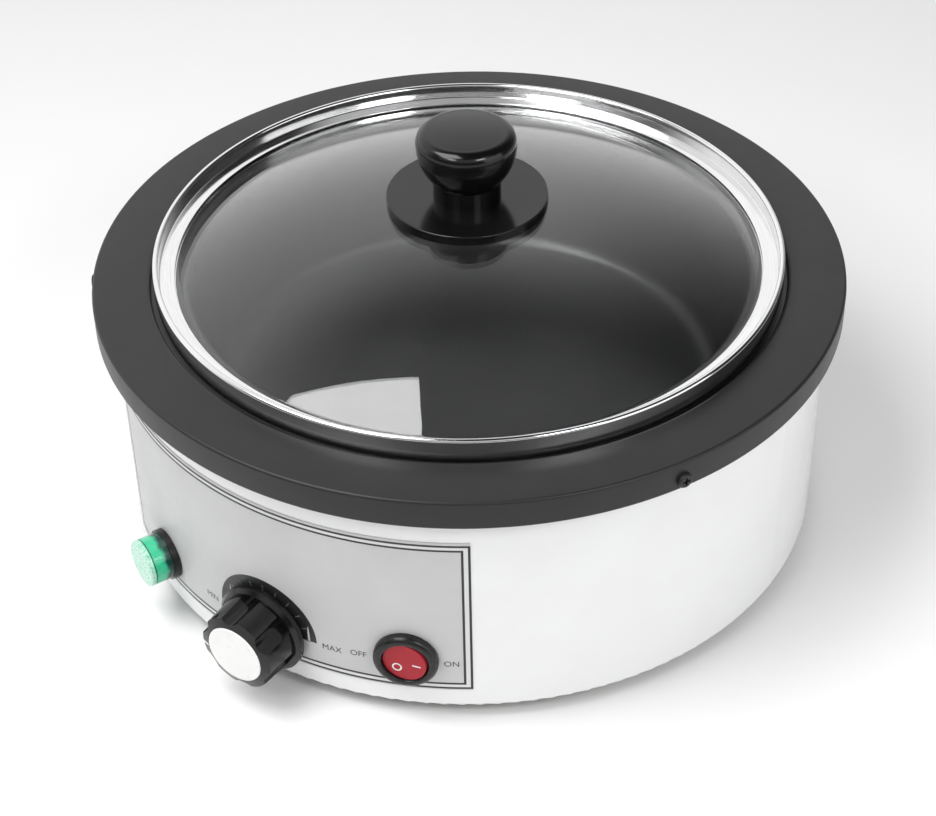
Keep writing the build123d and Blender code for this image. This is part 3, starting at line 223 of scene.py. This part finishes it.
def object_place(tree):
    """Place on the piece, in metres of the shared frame."""
    return tree.nodes.new("ShaderNodeTexCoord").outputs["Object"]


def round_place(tree, along=1.0, across=1.0, around=1.0):
    """Place as azimuth, radius and height, so that a grain can run round the axis."""
    split = tree.nodes.new("ShaderNodeSeparateXYZ")
    tree.links.new(object_place(tree), split.inputs[0])
    turn = math_node(tree, "ARCTAN2", split.outputs["X"], split.outputs["Y"])
    squares = math_node(tree, "ADD", math_node(tree, "POWER", split.outputs["X"], 2.0),
                        math_node(tree, "POWER", split.outputs["Y"], 2.0))
    radius = math_node(tree, "SQRT", squares)
    join = tree.nodes.new("ShaderNodeCombineXYZ")
    tree.links.new(math_node(tree, "MULTIPLY", turn, around), join.inputs[0])
    tree.links.new(math_node(tree, "MULTIPLY", radius, across), join.inputs[1])
    tree.links.new(math_node(tree, "MULTIPLY", split.outputs["Z"], along), join.inputs[2])
    return join.outputs[0]


def math_node(tree, operation, a, b=None):
    """One sum on sockets or numbers."""
    node = tree.nodes.new("ShaderNodeMath")
    node.operation = operation
    for socket, value in zip(node.inputs, (a, b)):
        if isinstance(value, (int, float)):
            socket.default_value = value
        elif value is not None:
            tree.links.new(value, socket)
    return node.outputs[0]


def noise(tree, place, scale, detail=3.0, rough=0.55, distortion=0.0):
    """Cloudy noise from 0 to 1, at so many features a metre."""
    node = tree.nodes.new("ShaderNodeTexNoise")
    node.inputs["Scale"].default_value = scale
    node.inputs["Detail"].default_value = detail
    node.inputs["Roughness"].default_value = rough
    node.inputs["Distortion"].default_value = distortion
    tree.links.new(place, node.inputs["Vector"])
    return node.outputs["Fac"]


def cells(tree, place, scale):
    """Distance to the nearest of scattered points."""
    node = tree.nodes.new("ShaderNodeTexVoronoi")
    node.inputs["Scale"].default_value = scale
    tree.links.new(place, node.inputs["Vector"])
    return node.outputs["Distance"]


def spread(tree, value, low, high, start=0.35, end=0.65):
    """Stretches part of a value's range to another range."""
    node = tree.nodes.new("ShaderNodeMapRange")
    node.inputs["From Min"].default_value = start
    node.inputs["From Max"].default_value = end
    node.inputs["To Min"].default_value = low
    node.inputs["To Max"].default_value = high
    tree.links.new(value, node.inputs["Value"])
    return node.outputs[0]


def blend_colours(tree, share, first, second):
    """Mix of two colours, or of a colour socket and a colour."""
    node = tree.nodes.new("ShaderNodeMix")
    node.data_type = "RGBA"
    tree.links.new(share, node.inputs["Factor"])
    for socket, colour in ((node.inputs["A"], first), (node.inputs["B"], second)):
        if isinstance(colour, tuple):
            socket.default_value = (*colour, 1)
        else:
            tree.links.new(colour, socket)
    return node.outputs["Result"]


def bump(tree, height, distance):
    """Bump of so many metres."""
    node = tree.nodes.new("ShaderNodeBump")
    node.inputs["Strength"].default_value = 1.0
    node.inputs["Distance"].default_value = distance
    tree.links.new(height, node.inputs["Height"])
    return node.outputs[0]


def surface(name, colour, second, rough, grain, depth, metallic=0.0, coat=0.0, coat_rough=0.05,
            cloud=40.0, specular=0.5, speck=None, sheen=0.0):
    """Everyday finish: two close colours in soft clouds, uneven gloss and a fine grain.

    rough is a pair of roughnesses, grain its features a metre, depth its height in metres, and
    speck an optional colour of small scattered spots.
    """
    material, tree, shader = new_material(name)
    place = object_place(tree)
    clouds = noise(tree, place, cloud)
    tone = blend_colours(tree, spread(tree, clouds, 0, 1), colour, second)
    if speck is not None:
        spots = spread(tree, cells(tree, place, grain / 3), 1, 0, 0.05, 0.13)
        tone = blend_colours(tree, spots, tone, speck)
    tree.links.new(tone, shader.inputs["Base Color"])
    gloss = noise(tree, place, grain / 9, 5.0)
    tree.links.new(spread(tree, gloss, *rough), shader.inputs["Roughness"])
    fine = noise(tree, place, grain, 2.0)
    tree.links.new(bump(tree, fine, depth), shader.inputs["Normal"])
    shader.inputs["Metallic"].default_value = metallic
    shader.inputs["Coat Weight"].default_value = coat
    shader.inputs["Coat Roughness"].default_value = coat_rough
    shader.inputs["Specular IOR Level"].default_value = specular
    shader.inputs["Sheen Weight"].default_value = sheen
    return material


def brushed_steel(name, colour, second, rough, lines, depth):
    """Spun steel: fine lines run round the axis."""
    material, tree, shader = new_material(name)
    place = round_place(tree, along=lines, across=lines, around=9.0)
    lines_seen = noise(tree, place, 1.0, 4.0, 0.6)
    clouds = noise(tree, object_place(tree), 60.0)
    tree.links.new(blend_colours(tree, spread(tree, lines_seen, 0, 1), colour, second),
                   shader.inputs["Base Color"])
    gloss = math_node(tree, "ADD", spread(tree, lines_seen, 0, rough[1] - rough[0]),
                      spread(tree, clouds, rough[0], rough[0] + 0.03))
    tree.links.new(gloss, shader.inputs["Roughness"])
    tree.links.new(bump(tree, lines_seen, depth), shader.inputs["Normal"])
    shader.inputs["Metallic"].default_value = 1.0
    return material


def clear_glass(name):
    """Clear tempered glass that lets lamps through to what it covers."""
    material, tree, shader = new_material(name)
    place = object_place(tree)
    smears = spread(tree, noise(tree, place, 28.0, 2.0, 0.5, 0.4), 0.003, 0.006, 0.2, 0.8)
    tree.links.new(smears, shader.inputs["Roughness"])
    shader.inputs["Base Color"].default_value = (0.985, 0.995, 0.99, 1)
    shader.inputs["Transmission Weight"].default_value = 1.0
    shader.inputs["IOR"].default_value = 1.5
    waves = noise(tree, place, 14.0, 1.0)
    tree.links.new(bump(tree, waves, 0.02 * MM), shader.inputs["Normal"])
    open_way = tree.nodes.new("ShaderNodeBsdfTransparent")
    open_way.inputs["Color"].default_value = (0.93, 0.94, 0.935, 1)
    ray = tree.nodes.new("ShaderNodeLightPath")
    pick = tree.nodes.new("ShaderNodeMixShader")
    tree.links.new(ray.outputs["Is Shadow Ray"], pick.inputs[0])
    tree.links.new(shader.outputs[0], pick.inputs[1])
    tree.links.new(open_way.outputs[0], pick.inputs[2])
    output = next(n for n in tree.nodes if n.type == "OUTPUT_MATERIAL")
    tree.links.new(pick.outputs[0], output.inputs[0])
    return material


def pan_coating(name):
    """Dark non-stick coating: fine grain, pale flecks and a few dull scuffs."""
    material, tree, shader = new_material(name)
    place = object_place(tree)
    flecks = spread(tree, cells(tree, place, 900.0), 1, 0, 0.10, 0.20)
    base = blend_colours(tree, spread(tree, noise(tree, place, 25.0), 0, 1),
                         (0.009, 0.009, 0.009), (0.012, 0.012, 0.012))
    tree.links.new(blend_colours(tree, flecks, base, (0.03, 0.03, 0.03)), shader.inputs["Base Color"])
    scuffs = noise(tree, place, 70.0, 2.0)
    tree.links.new(spread(tree, scuffs, 0.28, 0.31, 0.2, 0.8), shader.inputs["Roughness"])
    shader.inputs["Specular IOR Level"].default_value = 0.35
    tree.links.new(bump(tree, noise(tree, place, 1400.0, 2.0), 0.012 * MM), shader.inputs["Normal"])
    return material


# Lamp: its azimuth and the radii where its lens changes
LAMP_AZIMUTH = -23.6
LAMP_Z = 27.5 * MM
LENS_R = 9.4 * MM
LENS_DARK = (144.2 * MM, 146.4 * MM)
GROOVE = (149.62 * MM, 149.98 * MM)
GROOVE_DEPTH = 0.27 * MM
# width of the painted shade line laid in the lens's groove
GROOVE_SHADE_WIDTH = 0.25 * MM


def green_lens(name):
    """Tinted lens: shadowed near its bezel, with moulded dots behind its face."""
    material, tree, shader = new_material(name)
    place = object_place(tree)
    reach = tree.nodes.new("ShaderNodeVectorMath")
    reach.operation = "DOT_PRODUCT"
    reach.inputs[1].default_value = direction(LAMP_AZIMUTH, 0)
    tree.links.new(place, reach.inputs[0])
    out = reach.outputs["Value"]
    patches = math_node(tree, "MULTIPLY", noise(tree, place, 260.0, 1.0), 3.0 * MM)
    lit = fade(tree, math_node(tree, "SUBTRACT", math_node(tree, "ADD", out, patches), 1.5 * MM),
               LENS_DARK, 0, 1)
    face = fade(tree, out, (GROOVE[1], GROOVE[1] + 0.3 * MM), 0, 1)
    dots = spread(tree, cells(tree, place, 1300.0), 0, 1, 0.25, 0.5)
    side_tone = blend_colours(tree, lit, (0.004, 0.045, 0.035), (0.045, 0.54, 0.29))
    face_tone = blend_colours(tree, dots, (0.10, 0.55, 0.36), (0.45, 0.74, 0.60))
    tree.links.new(blend_colours(tree, face, side_tone, face_tone), shader.inputs["Base Color"])
    tree.links.new(spread(tree, noise(tree, place, 400.0), 0.10, 0.16), shader.inputs["Roughness"])
    tree.links.new(bump(tree, dots, 0.02 * MM), shader.inputs["Normal"])
    shader.inputs["IOR"].default_value = 1.49
    shader.inputs["Coat Weight"].default_value = 0.4
    return material


MATERIALS = {
    "white_enamel": surface("white_enamel", (0.83, 0.835, 0.835), (0.81, 0.815, 0.81), (0.24, 0.27),
                            900.0, 0.006 * MM, coat=0.5),
    "black_enamel": surface("black_enamel", (0.015, 0.015, 0.015), (0.017, 0.017, 0.017), (0.38, 0.42),
                            1500.0, 0.012 * MM, specular=0.34),
    "pan_coating": pan_coating("pan_coating"),
    "zinc_steel": surface("zinc_steel", (0.60, 0.60, 0.58), (0.48, 0.48, 0.47), (0.28, 0.42),
                          1200.0, 0.004 * MM, metallic=1.0),
    "stainless": brushed_steel("stainless", (0.82, 0.82, 0.82), (0.76, 0.76, 0.77), (0.08, 0.14),
                               1500.0, 0.15e-6),
    "clear_glass": clear_glass("clear_glass"),
    "black_phenolic": surface("black_phenolic", (0.003, 0.003, 0.003), (0.005, 0.005, 0.005),
                              (0.12, 0.17), 700.0, 0.001 * MM, specular=0.4),
    "black_plastic": surface("black_plastic", (0.010, 0.010, 0.010), (0.014, 0.014, 0.014),
                             (0.24, 0.30), 1300.0, 0.005 * MM, specular=0.35),
    "white_plastic": surface("white_plastic", (0.90, 0.90, 0.89), (0.86, 0.86, 0.85), (0.25, 0.35),
                             900.0, 0.003 * MM),
    "red_plastic": surface("red_plastic", (0.40, 0.022, 0.034), (0.37, 0.020, 0.030), (0.28, 0.36),
                           900.0, 0.003 * MM, specular=0.2),
    "green_lens": green_lens("green_lens"),
    "label_film": surface("label_film", (0.56, 0.56, 0.565), (0.53, 0.53, 0.535), (0.38, 0.48),
                          2200.0, 0.003 * MM, speck=(0.60, 0.60, 0.60)),
    "rubber": surface("rubber", (0.018, 0.018, 0.018), (0.03, 0.03, 0.03), (0.6, 0.8), 1500.0,
                      0.02 * MM),
    "silicone": surface("silicone", (0.45, 0.16, 0.12), (0.40, 0.14, 0.10), (0.45, 0.6), 800.0,
                        0.01 * MM),
    "brass": surface("brass", (0.72, 0.52, 0.24), (0.62, 0.44, 0.20), (0.25, 0.4), 1000.0,
                     0.004 * MM, metallic=1.0),
    "brass_plated": surface("brass_plated", (0.66, 0.64, 0.60), (0.58, 0.56, 0.52), (0.2, 0.34),
                            1000.0, 0.003 * MM, metallic=1.0),
    "wool_pad": surface("wool_pad", (0.62, 0.58, 0.46), (0.52, 0.48, 0.36), (0.85, 0.98), 500.0,
                        0.4 * MM, sheen=0.3),
    "element_sheath": surface("element_sheath", (0.30, 0.29, 0.28), (0.22, 0.20, 0.19), (0.35, 0.5),
                              900.0, 0.01 * MM, metallic=1.0),
    "copper": surface("copper", (0.72, 0.38, 0.26), (0.60, 0.30, 0.20), (0.25, 0.42), 900.0,
                      0.004 * MM, metallic=1.0),
    "block_plastic": surface("block_plastic", (0.68, 0.67, 0.62), (0.62, 0.61, 0.56), (0.4, 0.55),
                             800.0, 0.008 * MM),
    "thermostat_case": surface("thermostat_case", (0.60, 0.60, 0.58), (0.52, 0.52, 0.50),
                               (0.32, 0.45), 900.0, 0.006 * MM, metallic=1.0),
    "led_resin": surface("led_resin", (0.05, 0.40, 0.16), (0.04, 0.32, 0.12), (0.1, 0.2), 600.0,
                         0.002 * MM, coat=0.5),
}
# Black print on the label; the same black also paints the shade line in the lens's groove
BLACK_INK_AND_SHADE = surface("black_ink_and_painted_shade", (0.012, 0.012, 0.013), (0.018, 0.018, 0.018), (0.35, 0.45), 1800.0,
                    0.002 * MM)
GREY_INK = surface("grey_ink", (0.12, 0.12, 0.12), (0.16, 0.16, 0.16), (0.35, 0.45), 1800.0,
                   0.002 * MM)
PALE_INK = surface("pale_ink", (0.70, 0.70, 0.70), (0.67, 0.67, 0.67), (0.35, 0.45), 1800.0,
                   0.002 * MM)
WHITE_INK = surface("white_ink", (0.82, 0.82, 0.82), (0.76, 0.76, 0.76), (0.35, 0.45), 1800.0,
                    0.002 * MM)


def dress_nodes():
    """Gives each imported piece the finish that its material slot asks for."""
    for node in NODES.values():
        for slot in node.material_slots:
            slot.material = MATERIALS[slot.material.name.split(".")[0]]


# Small meshes
SHARP_ANGLE = radians(35)


def new_piece(name, bm, material, body):
    """Mesh object from a bmesh, smooth but for its sharp edges, riding on a body."""
    bmesh.ops.recalc_face_normals(bm, faces=bm.faces)
    for face in bm.faces:
        face.smooth = True
    for edge in bm.edges:
        edge.smooth = edge.is_manifold and edge.calc_face_angle() < SHARP_ANGLE
    mesh = bpy.data.meshes.new(name)
    bm.to_mesh(mesh)
    bm.free()
    piece = bpy.data.objects.new(name, mesh)
    bpy.context.scene.collection.objects.link(piece)
    mesh.materials.append(material)
    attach(piece, body)
    return piece


def solid_patch(bm, place, columns, rows, thick, closed=False):
    """Thin solid sheet. place(s, t, lift) gives a point, with s and t from 0 to 1.

    A closed one joins its last column to its first.
    """
    lines = columns if closed else columns + 1
    low, high = [[[bm.verts.new(place(i / columns, j / rows, lift)) for j in range(rows + 1)]
                  for i in range(lines)] for lift in (-thick, thick)]
    for i in range(columns):
        k = (i + 1) % lines
        for j in range(rows):
            for layer in (low, high):
                bm.faces.new((layer[i][j], layer[k][j], layer[k][j + 1], layer[i][j + 1]))
        for j in (0, rows):
            bm.faces.new((low[i][j], low[k][j], high[k][j], high[i][j]))
    for i in () if closed else (0, columns):
        for j in range(rows):
            bm.faces.new((low[i][j], low[i][j + 1], high[i][j + 1], high[i][j]))


def on_wall(azimuth, height, lift):
    """Point on the label's outside."""
    return Vector((sin(radians(azimuth)) * (LABEL_R + lift), -cos(radians(azimuth)) * (LABEL_R + lift),
                   height))


def wall_degrees(length):
    """Azimuth that a length covers on the label."""
    return degrees(length / LABEL_R)


PRINT_THICK = 0.02 * MM
STEP_DEGREES = 1.0


def print_bar(bm, azimuth_from, azimuth_to, low, high):
    """Printed rectangle on the label."""
    columns = max(1, round(abs(azimuth_to - azimuth_from) / STEP_DEGREES))
    solid_patch(
        bm,
        lambda s, t, lift: on_wall(azimuth_from + (azimuth_to - azimuth_from) * s,
                                   low + (high - low) * t, lift),
        columns, 1, PRINT_THICK)


def print_sector(bm, azimuth, height, inner, outer, start, end, steps):
    """Printed ring sector on the label, about a point on it. Angles run from the right, upwards."""
    def place(s, t, lift):
        angle = radians(start + (end - start) * s)
        reach = inner + (outer - inner) * t
        return on_wall(azimuth + wall_degrees(reach * cos(angle)), height + reach * sin(angle), lift)
    solid_patch(bm, place, steps, 2, PRINT_THICK)


# Label print: frame lines as azimuths of the left and right sides, low, high and line width
OUTER_LINE = (-37.6, 33.16, 16.1 * MM, 85.7 * MM, 0.9 * MM)
INNER_LINE = (-36.6, 32.14, 18.3 * MM, 83.6 * MM, 0.9 * MM)
SCALE_IN = 11 * MM
SCALE_OUT = 22.2 * MM
SCALE_TICKS = 11
TICK_IN = 17.0 * MM
TICK_OUT = 19.6 * MM
TICK_WIDTH = 0.45 * MM


def print_frame(bm, left, right, low, high, width):
    """Printed rectangle outline, measured to the middles of its lines."""
    side = wall_degrees(width) / 2
    half = width / 2
    print_bar(bm, left - side, right + side, low - half, low + half)
    print_bar(bm, left - side, right + side, high - half, high + half)
    print_bar(bm, left - side, left + side, low + half, high - half)
    print_bar(bm, right - side, right + side, low + half, high - half)


def label_borders():
    """The two printed frame lines, with a pale band between them."""
    bm = bmesh.new()
    for line in (OUTER_LINE, INNER_LINE):
        print_frame(bm, *line)
    new_piece("label_borders", bm, BLACK_INK_AND_SHADE, "bath")
    outer_left, outer_right, outer_low, outer_high, width = OUTER_LINE
    inner_left, inner_right, inner_low, inner_high, _ = INNER_LINE
    side = wall_degrees(width) / 2
    half = width / 2
    bm = bmesh.new()
    print_bar(bm, outer_left + side, outer_right - side, outer_low + half, inner_low - half)
    print_bar(bm, outer_left + side, outer_right - side, inner_high + half, outer_high - half)
    print_bar(bm, outer_left + side, inner_left - side, inner_low - half, inner_high + half)
    print_bar(bm, inner_right + side, outer_right - side, inner_low - half, inner_high + half)
    new_piece("label_band", bm, PALE_INK, "bath")


def dial_scale():
    """Black half ring round the dial, with faint marks on it."""
    bm = bmesh.new()
    print_sector(bm, 0, DIAL_Z, SCALE_IN, SCALE_OUT, 0, 180, 72)
    new_piece("dial_scale", bm, BLACK_INK_AND_SHADE, "bath")
    bm = bmesh.new()
    for index in range(SCALE_TICKS):
        turn = radians(180 - 180 * index / (SCALE_TICKS - 1))
        along = Vector((cos(turn), sin(turn)))
        across = Vector((-along.y, along.x)) * TICK_WIDTH / 2

        def place(s, t, lift):
            spot = along * (TICK_IN + (TICK_OUT - TICK_IN) * s) + across * (2 * t - 1)
            return on_wall(wall_degrees(spot.x), DIAL_Z + spot.y, lift + PRINT_THICK)
        solid_patch(bm, place, 2, 1, PRINT_THICK)
    new_piece("dial_marks", bm, GREY_INK, "bath")


def word(name, text, size, place, body, material):
    """Printed word in plain letters. place(x, y, lift) maps the flat letters to the surface."""
    curve = bpy.data.curves.new(name, "FONT")
    curve.body = text
    curve.size = size
    curve.align_x = "CENTER"
    curve.align_y = "CENTER"
    curve.extrude = PRINT_THICK
    curve.resolution_u = 6
    flat = bpy.data.objects.new(name + "_flat", curve)
    bpy.context.scene.collection.objects.link(flat)
    bpy.context.view_layer.update()
    mesh = bpy.data.meshes.new_from_object(flat.evaluated_get(bpy.context.evaluated_depsgraph_get()))
    bpy.data.objects.remove(flat)
    bm = bmesh.new()
    bm.from_mesh(mesh)
    bmesh.ops.remove_doubles(bm, verts=bm.verts, dist=1e-7)
    for vertex in bm.verts:
        vertex.co = place(*vertex.co)
    new_piece(name, bm, material, body)


WORDS = [("word_off", "OFF", 15.9, 28.1), ("word_on", "ON", 30.2, 28.2), ("word_min", "MIN", -11.4, 26.0),
         ("word_max", "MAX", 11.6, 27.4)]
WORD_SIZE = 3.7 * MM


def label_words():
    """Plain words at the dial's ends and beside the switch."""
    for name, text, azimuth, height in WORDS:
        word(name, text, WORD_SIZE,
             lambda x, y, lift: on_wall(azimuth + wall_degrees(x), height * MM + y, lift),
             "bath", BLACK_INK_AND_SHADE)


# Rocker marks
SWITCH_AZIMUTH = 23.4
SWITCH_Z = 30.3 * MM
PIVOT_R = 141.4 * MM
ROCKER_FACE = 1.2 * MM
RAISED_ANGLE = 10.0
PRESSED_ANGLE = 6.0
RING_AT = (-3.1 * MM, -2.9 * MM)
RING_RADIUS = 1.6 * MM
RING_WIDTH = 0.6 * MM
BAR_AT = (4.4 * MM, -0.6 * MM)
BAR_LENGTH = 3.2 * MM
BAR_WIDTH = 0.6 * MM


def on_rocker(x, y, lift):
    """Point on the rocker's two faces, x to the right and y up."""
    turn = radians(SWITCH_AZIMUTH)
    right = Vector((cos(turn), sin(turn), 0))
    out = Vector((sin(turn), -cos(turn), 0))
    pivot = out * PIVOT_R + Vector((0, 0, SWITCH_Z))
    slope = tan(radians(RAISED_ANGLE if x > 0 else PRESSED_ANGLE))
    return pivot + right * x + out * (ROCKER_FACE + lift + x * slope) + Vector((0, 0, y))


def rocker_marks():
    """The ring and the bar, printed white on the rocker."""
    bm = bmesh.new()

    def ring(s, t, lift):
        reach = RING_RADIUS + RING_WIDTH * (t - 0.5)
        return on_rocker(RING_AT[0] + reach * cos(2 * pi * s), RING_AT[1] + reach * sin(2 * pi * s), lift)

    def bar(s, t, lift):
        return on_rocker(BAR_AT[0] + BAR_LENGTH * (s - 0.5), BAR_AT[1] + BAR_WIDTH * (t - 0.5), lift)
    solid_patch(bm, ring, 32, 1, PRINT_THICK, closed=True)
    solid_patch(bm, bar, 2, 1, PRINT_THICK)
    new_piece("rocker_marks", bm, WHITE_INK, "rocker")


# Dial's white pointer line, along one lobe and the front bevel
POINTER_ANGLE = 187.0
POINTER_WIDTH = 1.0 * MM
POINTER_PATH = [(16.1 * MM, 144.6 * MM), (15.6 * MM, 157.6 * MM), (12.4 * MM, 158.72 * MM)]
POINTER_THICK = 0.04 * MM


def dial_pointer():
    """White line that shows the setting."""
    bm = bmesh.new()
    turn = radians(POINTER_ANGLE)
    for (r_from, out_from), (r_to, out_to) in zip(POINTER_PATH, POINTER_PATH[1:]):
        away = Vector((out_to - out_from, r_from - r_to)).normalized()

        def place(s, t, lift):
            reach = r_from + (r_to - r_from) * s + away.x * lift
            out = out_from + (out_to - out_from) * s + away.y * lift
            side = POINTER_WIDTH * (t - 0.5)
            return Vector((reach * cos(turn) - side * sin(turn), -out,
                           DIAL_Z + reach * sin(turn) + side * cos(turn)))
        solid_patch(bm, place, 4, 2, POINTER_THICK)
    new_piece("dial_pointer", bm, WHITE_INK, "dial")


def lens_groove_painted_shade():
    """Painted shade: a dark line round the lens, in the groove behind its front, where the groove's shadow
    falls.
    """
    bm = bmesh.new()
    out = direction(LAMP_AZIMUTH, 0)
    across = Vector((cos(radians(LAMP_AZIMUTH)), sin(radians(LAMP_AZIMUTH)), 0))

    def place(s, t, lift):
        turn = 2 * pi * s
        reach = LENS_R - GROOVE_DEPTH + lift
        return (out * (GROOVE[0] + (GROOVE[1] - GROOVE[0]) * t) + across * reach * cos(turn)
                + Vector((0, 0, LAMP_Z + reach * sin(turn))))
    solid_patch(bm, place, 72, 1, GROOVE_SHADE_WIDTH / 2, closed=True)
    new_piece("lamp_groove_painted_shade", bm, BLACK_INK_AND_SHADE, "bath")


# Lid's glass and steel rim as smooth turned shapes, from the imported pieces' own boxes
LID_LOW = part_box("lid_rim")[0].z
RIM_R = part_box("lid_rim")[1].x
RIM_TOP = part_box("lid_rim")[1].z
RIM_SHEET = 0.5 * MM
RIM_BEAD = 1.15 * MM
RIM_COVER = 4.3 * MM
RIM_LIP = 5.0 * MM
GLASS_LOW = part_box("lid_glass")[0].z
GLASS_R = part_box("lid_glass")[1].x
GLASS_THICK = 3.0 * MM
GLASS_FLAT = 5.0 * MM
GLASS_BEND = 5.0 * MM
GLASS_HOLE_R = 4.0 * MM
GLASS_FIT = 0.1 * MM
CHANNEL_GAP = 0.2 * MM
DOME_R = 249.0 * MM
DOME_FOOT_R = GLASS_R - GLASS_FLAT
DOME_CENTRE = GLASS_LOW + GLASS_THICK - sqrt(DOME_R ** 2 - DOME_FOOT_R ** 2)
TURN_STEPS = 288
DOME_STEPS = 40
GLASS_EDGE = 0.5 * MM      # rounding of the glass's cut edge
HEM = 0.6 * MM             # rounding where the bead's wall meets the flange


def dome_z(radius, sphere):
    """Height of a sphere about the dome's centre, at a distance from the axis."""
    return DOME_CENTRE + sqrt(sphere ** 2 - radius ** 2)


def dome_arc(start, end, sphere, steps):
    """Section points along such a sphere."""
    radii = [start + (end - start) * i / steps for i in range(steps + 1)]
    return [(r, dome_z(r, sphere)) for r in radii]


def turned(profile):
    """Closed section turned about the axis."""
    bm = bmesh.new()
    rings = []
    for i in range(TURN_STEPS):
        turn = 2 * pi * i / TURN_STEPS
        c, s = cos(turn), sin(turn)
        rings.append([bm.verts.new((r * c, r * s, z)) for r, z in profile])
    count = len(profile)
    for i in range(TURN_STEPS):
        one, two = rings[i], rings[(i + 1) % TURN_STEPS]
        for j in range(count):
            k = (j + 1) % count
            bm.faces.new((one[j], two[j], two[k], one[k]))
    return bm


def rounded(centre_r, centre_z, radius, start, end, steps=12):
    """Section points of an arc, with angles from the outward direction, upwards."""
    turns = [radians(start + (end - start) * i / steps) for i in range(steps + 1)]
    return [(centre_r + radius * cos(turn), centre_z + radius * sin(turn)) for turn in turns]


def lid_turnings():
    """Glass and rim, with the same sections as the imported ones."""
    bend_z = GLASS_LOW + GLASS_THICK + GLASS_BEND
    bend_r = sqrt((DOME_R + GLASS_BEND) ** 2 - (bend_z - DOME_CENTRE) ** 2)
    meet = degrees(atan2(DOME_CENTRE - bend_z, -bend_r)) % 360
    share = DOME_R / (DOME_R + GLASS_BEND)
    under = DOME_R - GLASS_THICK
    under_share = under / (DOME_R + GLASS_BEND)
    glass = dome_arc(GLASS_HOLE_R, bend_r * share, DOME_R, DOME_STEPS)
    glass += rounded(bend_r, bend_z, GLASS_BEND, meet, 270)[1:]
    glass += rounded(GLASS_R - GLASS_EDGE, GLASS_LOW + GLASS_THICK - GLASS_EDGE, GLASS_EDGE, 90, 0, 4)
    glass += rounded(GLASS_R - GLASS_EDGE, GLASS_LOW + GLASS_EDGE, GLASS_EDGE, 0, -90, 4)
    glass += rounded(bend_r, bend_z, GLASS_BEND + GLASS_THICK, 270, meet)[:-1]
    glass += dome_arc(bend_r * under_share, GLASS_HOLE_R, under, DOME_STEPS)
    piece = new_piece("lid_glass_turned", turned(glass), MATERIALS["clear_glass"], "lid")
    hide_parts("lid_glass")
    bead_in = RIM_R - 2 * RIM_BEAD
    bead_z = RIM_TOP - RIM_BEAD
    lip_top = LID_LOW + RIM_SHEET
    flange_under = GLASS_LOW + GLASS_THICK + GLASS_FIT
    flange_top = flange_under + RIM_SHEET
    channel = GLASS_R + CHANNEL_GAP
    lip, cover = GLASS_R - RIM_LIP, GLASS_R - RIM_COVER
    half = RIM_SHEET / 2
    rim = [(RIM_R, LID_LOW)]
    rim += rounded(RIM_R - RIM_BEAD, bead_z, RIM_BEAD, 0, 180, 14)
    rim += rounded(bead_in - HEM, flange_top + HEM, HEM, 0, -90, 5)
    rim += rounded(cover + half, flange_under + half, half, 90, 270, 8)
    rim += [(channel, flange_under), (channel, lip_top)]
    rim += rounded(lip + half, LID_LOW + half, half, 90, 270, 8)
    rim += [(channel + RIM_SHEET, LID_LOW), (channel + RIM_SHEET, flange_under),
            (bead_in + RIM_SHEET, flange_under), (bead_in + RIM_SHEET, bead_z), (RIM_R - RIM_SHEET, bead_z),
            (RIM_R - RIM_SHEET, LID_LOW)]
    piece = new_piece("lid_rim_turned", turned(rim), MATERIALS["stainless"], "lid")
    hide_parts("lid_rim")


# Collar's section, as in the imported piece
COLLAR_R = -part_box("collar_ring")[0].x
COLLAR_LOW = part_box("collar_ring")[0].z
COLLAR_OPENING_R = 123.5 * MM
COLLAR_INSIDE_R = 139.8 * MM
COLLAR_RIB_R = 134.6 * MM
COLLAR_PLATE = 2.5 * MM
COLLAR_EDGE = 1.2 * MM
COLLAR_LIP = 2.0 * MM
DRUM_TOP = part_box("drum_housing")[1].z


def collar_turning():
    """Collar as a smooth turned shape, without its screw holes, which the screw heads cover."""
    ledge = COLLAR_TOP - COLLAR_PLATE
    side = COLLAR_R - COLLAR_EDGE
    section = [(COLLAR_OPENING_R, ledge)]
    section += rounded(COLLAR_OPENING_R + COLLAR_LIP, COLLAR_TOP - COLLAR_LIP, COLLAR_LIP, 180, 90)
    section += rounded(side, COLLAR_TOP - COLLAR_EDGE, COLLAR_EDGE, 90, 0)
    section += rounded(side, COLLAR_LOW + COLLAR_EDGE, COLLAR_EDGE, 0, -90)
    section += [(COLLAR_INSIDE_R, COLLAR_LOW), (COLLAR_INSIDE_R, DRUM_TOP), (COLLAR_RIB_R, DRUM_TOP),
                (COLLAR_RIB_R, ledge)]
    piece = new_piece("collar_turned", turned(section), MATERIALS["black_enamel"], "bath")
    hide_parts("collar_ring")


def make_floor():
    """Plain pale floor, far wider than the view."""
    bm = bmesh.new()
    bmesh.ops.create_grid(bm, x_segments=1, y_segments=1, size=6.0)
    mesh = bpy.data.meshes.new("floor")
    bm.to_mesh(mesh)
    bm.free()
    floor = bpy.data.objects.new("floor", mesh)
    bpy.context.scene.collection.objects.link(floor)
    mesh.materials.append(surface("floor_paint", (0.93, 0.93, 0.93), (0.92, 0.92, 0.92), (0.5, 0.6),
                                  300.0, 0.002 * MM, cloud=3.0))


bpy.context.scene.view_settings.view_transform = "Standard"
make_camera()
make_world()
make_lights()
make_floor()
dress_nodes()
label_borders()
dial_scale()
label_words()
rocker_marks()
dial_pointer()
lens_groove_painted_shade()
lid_turnings()
collar_turning()
